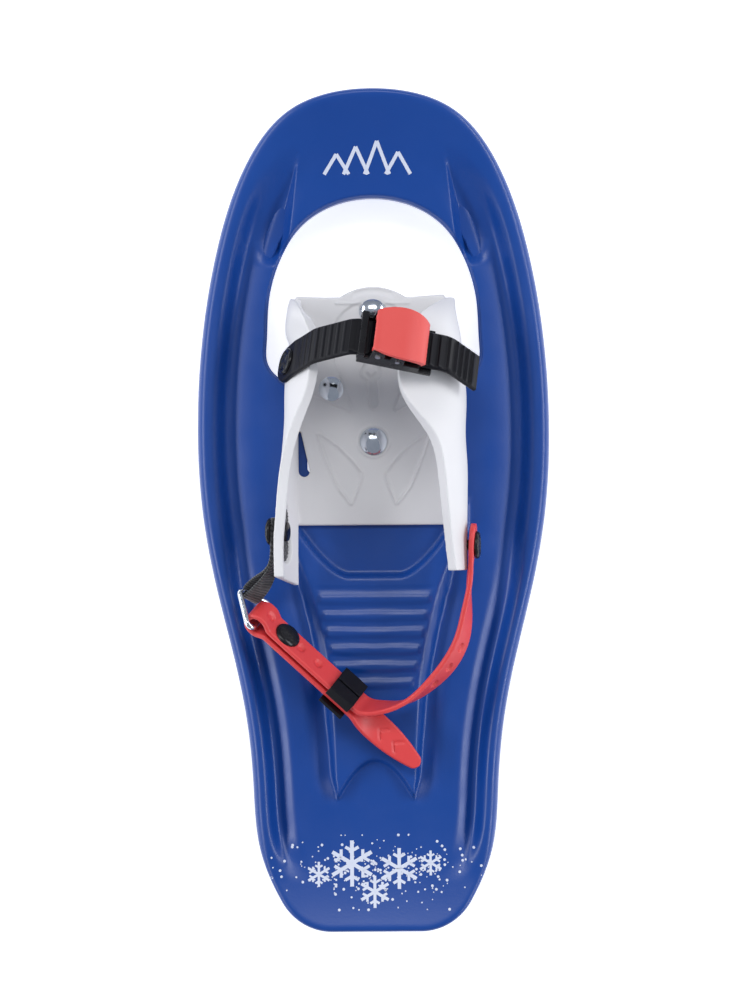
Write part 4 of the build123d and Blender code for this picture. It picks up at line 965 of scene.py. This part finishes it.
# ---------------------------------------------------------------- heel strap
SWING_Y, SWING_Z, SWING_YAW = -16.9, 50.0, math.radians(3.95)
RIGHT_STRAP_OFFSET, LEFT_WEBBING_OFFSET = 55.2, -60.5
WEBBING_INSET = 4.6
HEEL_WIDTH, HEEL_THICKNESS = 17.0, 3.0
HEEL_RIGHT = [
    ((53.6, -42, 48.5), (0, 0, 1)),
    ((52, -58, 47.5), (-0.25, 0, 0.97)),
    ((49.5, -73, 46.5), (-0.4, 0.15, 0.9)),
    ((42, -88, 45.5), (-0.35, 0.3, 0.88)),
    ((31, -100, 44.5), (-0.2, 0.25, 0.94)),
    ((17, -109.5, 45.5), (0, 0.05, 1)),
    ((4, -112.5, 45.5), (-0.1, -0.3, 0.95)),
]
KEEPER_PLACE = np.array([-18.1, -104.6, 42.0])
RUN_DIRECTION = np.array([-0.735, 0.678, 0.03])
RUN_TILT = 52.0
LAYER = 2.5
RUN_START, RUN_END = -10.0, 55.0
LOOP_CENTRE, LOOP_RADIUS = 63.0, 5.5
LOCK_ALONG, LOCK_RADIUS = 45.6, 7.8
HOLES_ALONG_RUN = [21.5, 34.7, 60.0]
HOLES_ON_RIGHT = [(48.1, -78.5), (43.0, -90.8), (35.0, -101.1)]
# The tongue: (along, drop, half width, tilt in degrees).
TONGUE = [(-10, 0, 8.5, RUN_TILT), (-15, 0.5, 8.5, 40), (-26, 2.5, 8.5, 15), (-38, 4, 7.9, 8),
          (-50, 5, 6, 8), (-60, 6, 3.5, 8)]
# The strap's end at its rivet: how its width leans, and its middle's offsets from the rivet's line.
LUG_LEAN = (-0.12, 0, 0.993)
LUG_LENGTH, LUG_FRONT_SHIFT, LUG_SHIFT = 12.0, (0.4, 0, 1.0), (0.4, 0, 0.3)
# Weight of a direction against a place when a curve is laid through both.
TURN_WEIGHT = 15.0
KEEPER_LENGTH, KEEPER_WALL, KEEPER_GAP = 16.5, 2.3, 0.4
KEEPER_INNER, KEEPER_OUTER = 4.4, 6.7
RING_CORNERS = [(84, -2, 4), (LOOP_CENTRE, -15.5, 0)]
WEBBING_WIDTH, WEBBING_THICKNESS, WEBBING_LAYER = 11.0, 1.5, 0.9
# Where the webbing bends behind its rivet, where it lies on the ring's bar, and its wrap there.
WEBBING_BEND, WEBBING_ON_BAR, WEBBING_WRAP = 15.0, 3.2, 2.9
WEBBING_TURN_WEIGHT = 8.0
WEBBING_LEAN = (-0.25, 0, 0.97)


def run_axes(tilt=RUN_TILT):
    """Directions of the strap's doubled run: to the ring, across, and outwards."""
    on = RUN_DIRECTION / np.linalg.norm(RUN_DIRECTION)
    level = np.cross((0, 0, 1), on)
    level /= np.linalg.norm(level)
    turn = math.radians(tilt)
    across = level * math.cos(turn) - np.cross(level, on) * math.sin(turn)
    return on, across, np.cross(on, across)


def run_point(on, across, out):
    """Place in the frame of a point given in the doubled run's own axes."""
    axes = run_axes()
    return KEEPER_PLACE + axes[0] * on + axes[1] * across + axes[2] * out


def swing_point(offset):
    """Place on the line through the two heel rivets."""
    return np.array([offset * math.cos(SWING_YAW), SWING_Y - offset * math.sin(SWING_YAW), SWING_Z])


def heel_stations():
    """Middle points and across vectors of the whole heel strap, from its rivet to its tongue."""
    forward = np.array([math.sin(SWING_YAW), math.cos(SWING_YAW), 0])
    pin = swing_point(RIGHT_STRAP_OFFSET)
    on, across, _ = run_axes()
    rows = [(pin + forward * LUG_LENGTH + LUG_FRONT_SHIFT, LUG_LEAN), (pin + LUG_SHIFT, LUG_LEAN)]
    rows += HEEL_RIGHT
    rows.append((run_point(RUN_START, 0, LAYER), across))
    packed = np.array([np.concatenate([np.array(c, float), TURN_WEIGHT * np.array(a, float)])
                       for c, a in rows])
    slope = np.concatenate([on, (0, 0, 0)])
    right = curve_points(packed, 420, end=slope)
    bend, far = LOOP_CENTRE - 3, LOOP_CENTRE + LOOP_RADIUS
    path = rounded_line(
        [(RUN_START, LAYER), (RUN_END, LAYER), (bend, LOOP_RADIUS), (far, LOOP_RADIUS),
         (far, -LOOP_RADIUS), (bend, -LOOP_RADIUS), (RUN_END, -LAYER), (RUN_START, -LAYER)],
        [5, 5, 5.4, 5.4, 5, 5], 0.5)[1:]
    run = np.array([run_point(x, 0, z) for x, z in path])
    rows = []
    for place, drop, half_width, tilt in TONGUE:
        rows.append(np.concatenate([run_point(place, 0, -LAYER) - (0, 0, drop),
                                    TURN_WEIGHT * run_axes(tilt)[1], [half_width]]))
    tongue = curve_points(rows, 110, start=np.concatenate([-on, (0, 0, 0), [0]]))[1:]
    centres = np.concatenate([right[:, :3], run, tongue[:, :3]])
    over = np.concatenate([right[:, 3:] / TURN_WEIGHT,
                           np.repeat(across[None, :], len(run), axis=0),
                           tongue[:, 3:6] / TURN_WEIGHT])
    widths = np.concatenate([np.full(len(right) + len(run), HEEL_WIDTH / 2), tongue[:, 6]])
    return centres, over, widths, len(right)


def make_heel_strap():
    """Red rubber heel strap with its row of holes, loop and tongue."""
    centres, across, widths, run_first = heel_stations()
    reach = running_lengths(centres)
    total = reach[-1]
    for past in (np.clip((8.5 - reach) / 8.5, 0, 1), np.clip((reach - total + 3) / 3, 0, 1)):
        widths = widths * np.sqrt(np.clip(1 - past ** 2, 0.01, 1))
    holes = [nearest(centres, x, y) for x, y in HOLES_ON_RIGHT]
    holes += [reach[run_first] + place - RUN_START for place in HOLES_ALONG_RUN]

    def hole_depth(s, x):
        depth = np.zeros_like(s)
        for hole in holes:
            depth += ease(2.9, 2.1, np.hypot(s - hole, x * 1.1))
        return -1.25 * depth

    def tongue_marks(s, x):
        height = hole_depth(s, x)
        for index in range(2):
            point = total - 31 + 11 * index
            arm = np.abs(s - point - np.abs(x))
            height -= 0.7 * ease(1.4, 0.6, arm) * ease(4.6, 3.8, np.abs(x))
        return height

    strap = band("heel_strap_skin", centres, across, widths, HEEL_THICKNESS, top=tongue_marks,
                 under=hole_depth, columns=29)
    return finish_piece(strap, "heel", RED, ["heel_strap"])


def make_lock_button():
    """Glossy two-part button through both layers of the heel strap."""
    line = [(0, 2.2), (3, 2.15), (5.6, 1.9), (6.9, 1.5), (7.5, 0.9), (LOCK_RADIUS, 0.3), (7.6, 0),
            (3.9, 0), (3.9, -8), (6.8, -8), (6.8, -9.2), (6.4, -9.6), (0, -9.6)]
    piece = turned("lock_button_skin", line, run_point(LOCK_ALONG, 0, 4.0), run_axes()[2], 72)
    return finish_piece(piece, "heel", GLOSS_BLACK, ["lock_button"])


def run_box(name, on, across, out):
    """Box in the doubled run's own axes, given each side's low and high value."""
    return block(name, [run_point(a, b, c) for c in out for b in across for a in on])


def make_keeper():
    """Black sliding keeper: sleeve round both layers, grooved above and slit along one side."""
    half = HEEL_WIDTH / 2 + KEEPER_GAP
    side = half + KEEPER_WALL
    inner, out = KEEPER_INNER, KEEPER_OUTER
    # Each wall's name, its span across the strap and its span in height.
    walls = [("bar_side", (1.6, side), (inner, out)), ("bar_fold", (-side, 0.4), (inner, out)),
             ("bar_joint", (-0.4, 2.4), (inner, out - 1.5)), ("side_high", (half, side), (0.6, out)),
             ("side_low", (-side, -half), (-out, out)), ("plate_low", (-side, side), (-out, -inner))]
    parts = [run_box(name, (-KEEPER_LENGTH / 2, KEEPER_LENGTH / 2), across, high)
             for name, across, high in walls]
    keeper = melt(join("keeper_skin", parts), 0.28, 4)
    return finish_piece(keeper, "keeper", BLACK, ["strap_keeper"])


def make_webbing():
    """Webbing from the left rivet round the ring and back, bending just behind its rivet."""
    rearward = np.array([-math.sin(SWING_YAW), -math.cos(SWING_YAW), 0])
    pin = swing_point(LEFT_WEBBING_OFFSET) + (WEBBING_INSET, 0, 0)
    outward = -np.cross(rearward, (0, 0, 1))
    near, far = (run_point(*corner) for corner in RING_CORNERS)
    bar = (near - far) / np.linalg.norm(near - far)
    middle = (near + far) / 2 + bar * WEBBING_ON_BAR
    to_ring = middle - pin - rearward * WEBBING_BEND
    to_ring -= bar * (to_ring @ bar)
    to_ring /= np.linalg.norm(to_ring)
    side = np.cross(to_ring, bar)
    side *= 1 if side @ outward > 0 else -1
    lean = np.array(WEBBING_LEAN)
    layer = outward * WEBBING_LAYER
    rows = [(pin + layer + rearward * place, lean) for place in (-8, 2, 14)]
    for angle in np.linspace(0, math.pi, 5):
        turn = side * math.cos(angle) + to_ring * math.sin(angle)
        rows.append((middle + turn * WEBBING_WRAP, bar))
    rows += [(pin - layer + rearward * place, lean) for place in (17, 4, -8)]
    packed = np.array([np.concatenate([c, WEBBING_TURN_WEIGHT * a]) for c, a in rows])
    smooth = curve_points(packed, 260)
    across = smooth[:, 3:] / WEBBING_TURN_WEIGHT
    widths = np.full(len(smooth), WEBBING_WIDTH / 2)

    def ribs(s, x):
        return 0.18 * np.sin(s * 2 * math.pi / 1.5 + np.abs(x) * 0.9)

    piece = band("webbing_skin", smooth[:, :3], across, widths, WEBBING_THICKNESS, top=ribs,
                 under=ribs, columns=17)
    piece.data.materials.append(WEBBING)
    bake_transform(piece)
    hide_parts("ring_webbing")


make_heel_strap()
make_lock_button()
make_keeper()
make_webbing()
make_button("heel_button", swing_point(RIGHT_STRAP_OFFSET + 2.0) + (0, 0, 0.2), (0.99, 0, 0.12),
            10.2, "heel_strap_rivet")
make_button("webbing_button", swing_point(LEFT_WEBBING_OFFSET - 1.6) + (WEBBING_INSET, 0, 0),
            (-0.97, 0, -0.25), 7.4, "webbing_rivet")


# ---------------------------------------------------------------- prints and hidden parts
PRINT_STEP, PRINT_LIFT, NOSE_PRINT_BASE = 2.5, 0.12, 190
FLAKES, FLAKES_HALF_WIDTH, FLAKES_REAR, FLAKES_FRONT = 260, 60, -229, -187


def on_deck(name, outline_list):
    """Thin white print laid on the deck's upper face, from closed plan outlines."""
    tree = BVHTree.FromObject(DECK, bpy.context.evaluated_depsgraph_get())
    work = bmesh.new()
    for outline in outline_list:
        work.faces.new([work.verts.new((x * MM, y * MM, 0)) for x, y in outline])
    bmesh.ops.triangulate(work, faces=work.faces)
    long_edges = [e for e in work.edges if e.calc_length() > PRINT_STEP * MM]
    bmesh.ops.subdivide_edges(work, edges=long_edges, cuts=2, use_grid_fill=True)
    for vertex in work.verts:
        hit = tree.ray_cast(Vector((vertex.co.x, vertex.co.y, 0.2)), Vector((0, 0, -1)))[0]
        vertex.co.z = hit.z + PRINT_LIFT * MM
    mesh = bpy.data.meshes.new(name)
    work.to_mesh(mesh)
    work.free()
    return finish_piece(add_object(name, mesh), "deck", PRINT)


def stroke(start, end, width):
    """Outline of a straight stroke with a given width."""
    start, end = np.array(start, float), np.array(end, float)
    run = (end - start) / np.linalg.norm(end - start)
    side = np.array([-run[1], run[0]]) * width / 2
    return [tuple(start + side), tuple(start - side), tuple(end - side), tuple(end + side)]


def crystal(centre, size, width):
    """Strokes of a six-armed snow crystal."""
    strokes = []
    for index in range(6):
        angle = math.radians(90 + 60 * index)
        run = np.array([math.cos(angle), math.sin(angle)])
        strokes.append(stroke(centre, centre + run * size, width))
        for turn in (-60, 60):
            branch = angle + math.radians(turn)
            base = centre + run * size * 0.55
            tip = base + np.array([math.cos(branch), math.sin(branch)]) * size * 0.34
            strokes.append(stroke(base, tip, width * 0.8))
    return strokes


def make_nose_print():
    """A row of plain mountain outlines in place of lettering."""
    strokes = []
    for middle, height in ((-20, 11), (-9, 15), (3, 18), (15, 12)):
        peak = (middle, NOSE_PRINT_BASE + height)
        strokes.append(stroke((middle - 7, NOSE_PRINT_BASE), peak, 2.0))
        strokes.append(stroke(peak, (middle + 7, NOSE_PRINT_BASE), 2.0))
    return on_deck("nose_print", strokes)


def make_tail_print():
    """Snow crystals among scattered flakes in place of lettering."""
    shapes = []
    for centre, size, width in (((-14, -203), 13, 2.2), ((13, -206), 11.5, 2.0),
                                ((-1, -219), 9, 1.7), ((31, -203), 7, 1.4), ((-33, -209), 7, 1.4)):
        shapes += crystal(np.array(centre, float), size, width)
    scatter = random.Random(7)
    for _ in range(FLAKES):
        x = max(-FLAKES_HALF_WIDTH, min(FLAKES_HALF_WIDTH, scatter.gauss(0, 27)))
        y = max(FLAKES_REAR, min(FLAKES_FRONT, scatter.gauss(-207, 10)))
        radius = scatter.choice((0.35, 0.45, 0.6, 0.8))
        shapes.append([tuple(p) for p in circle_points((x, y), radius, 0, 324, 10)])
    return on_deck("tail_print", shapes)


BOSS_X, BOSS_BORE, BOSS_RADIUS, BOSS_HALF, BOSS_BEVEL = 43.25, 3.0, 7.0, 4.7, 0.6
WEB_X, WEB_Y, WEB_Z = (38.6, 47.9), (50, 64.2), (5, 17)


def make_boss(side):
    """Bearing boss under the deck for one end of the axle."""
    narrow, short = BOSS_RADIUS - BOSS_BEVEL, BOSS_HALF - BOSS_BEVEL
    line = [(BOSS_BORE, -BOSS_HALF), (narrow, -BOSS_HALF), (BOSS_RADIUS, -short),
            (BOSS_RADIUS, short), (narrow, BOSS_HALF), (BOSS_BORE, BOSS_HALF),
            (BOSS_BORE, -BOSS_HALF)]
    ring = turned("boss_ring", line, (side * BOSS_X, AXLE_Y, AXLE_Z), (1, 0, 0), 48)
    web = block("boss_web", [(side * x, y, z) for z in WEB_Z for y in WEB_Y for x in WEB_X])
    return finish_piece(join("boss_right" if side > 0 else "boss_left", [ring, web]), "deck", BLUE)


make_nose_print()
make_tail_print()
make_boss(-1)
make_boss(1)
CAD_MATERIALS = {
    "pivot_axle": STEEL, "axle_caps": GLOSS_BLACK, "axle_bushes": NYLON, "crampon": STEEL,
    "carriage_bolts": ZINC, "bolt_washers": ZINC, "lock_nuts": ZINC, "buckle_rivets": STEEL,
    "lever_pin": STEEL, "pawl_pin": STEEL, "pawl_spring": STEEL, "strap_ring": ZINC,
}
for node, material in CAD_MATERIALS.items():
    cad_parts[node].data.materials.clear()
    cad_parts[node].data.materials.append(material)


# ---------------------------------------------------------------- floor, camera and light
def make_stage():
    """Pale floor just under the rails."""
    half = 6.0
    mesh = bpy.data.meshes.new("floor")
    mesh.from_pydata([(-half, -half, -0.001), (half, -half, -0.001), (half, half, -0.001),
                      (-half, half, -0.001)], [], [(0, 1, 2, 3)])
    floor = add_object("floor", mesh)
    material, tree, principled = shader("floor", (0.93, 0.93, 0.93), 0.9)
    tint(tree, noise(tree, 3, 2), (0.92, 0.92, 0.92), (0.94, 0.94, 0.94), principled)
    set_inputs(principled, Emission_Color=(1, 1, 1, 1), Emission_Strength=0.62)
    mesh.materials.append(material)


def make_light(name, place, size, power, colour=(1, 1, 1)):
    """Soft rectangular studio light, turned to the middle of the shoe."""
    data = bpy.data.lights.new(name, "AREA")
    data.shape = "RECTANGLE"
    data.size, data.size_y = size
    data.energy = power
    data.color = colour
    light = add_object(name, data)
    light.location = place
    light.rotation_euler = (Vector((0, 0, 0)) - Vector(place)).to_track_quat("-Z", "Y").to_euler()


def make_camera():
    """Camera straight above, two metres away, with the toe at the top of the picture."""
    height, seen, sensor, turn = 2.02, 0.573, 36.0, math.radians(-0.4)
    data = bpy.data.cameras.new("camera")
    data.sensor_fit = "VERTICAL"
    data.sensor_height = sensor
    data.lens = sensor * (height - PLATE_HIGH * MM) / seen
    camera = add_object("camera", data)
    camera.location = (0.0006, 0.0049, height)
    camera.rotation_euler = (0, 0, turn)
    bpy.context.scene.camera = camera


def make_world():
    """Even pale surroundings."""
    world = bpy.data.worlds.new("studio")
    world.use_nodes = True
    set_inputs(world.node_tree.nodes["Background"], Color=(0.80, 0.86, 1.0, 1), Strength=0.34)
    bpy.context.scene.world = world


make_stage()
make_camera()
make_world()
for light_name, light_x in (("left_softbox", -1.4), ("right_softbox", 1.4)):
    make_light(light_name, (light_x, 0.0, 0.8), (1.9, 0.25), 16, (0.93, 0.95, 1))
make_light("toe_softbox", (0.0, 1.0, 1.8), (1.6, 0.5), 15)
bpy.context.scene.view_settings.view_transform = "Standard"
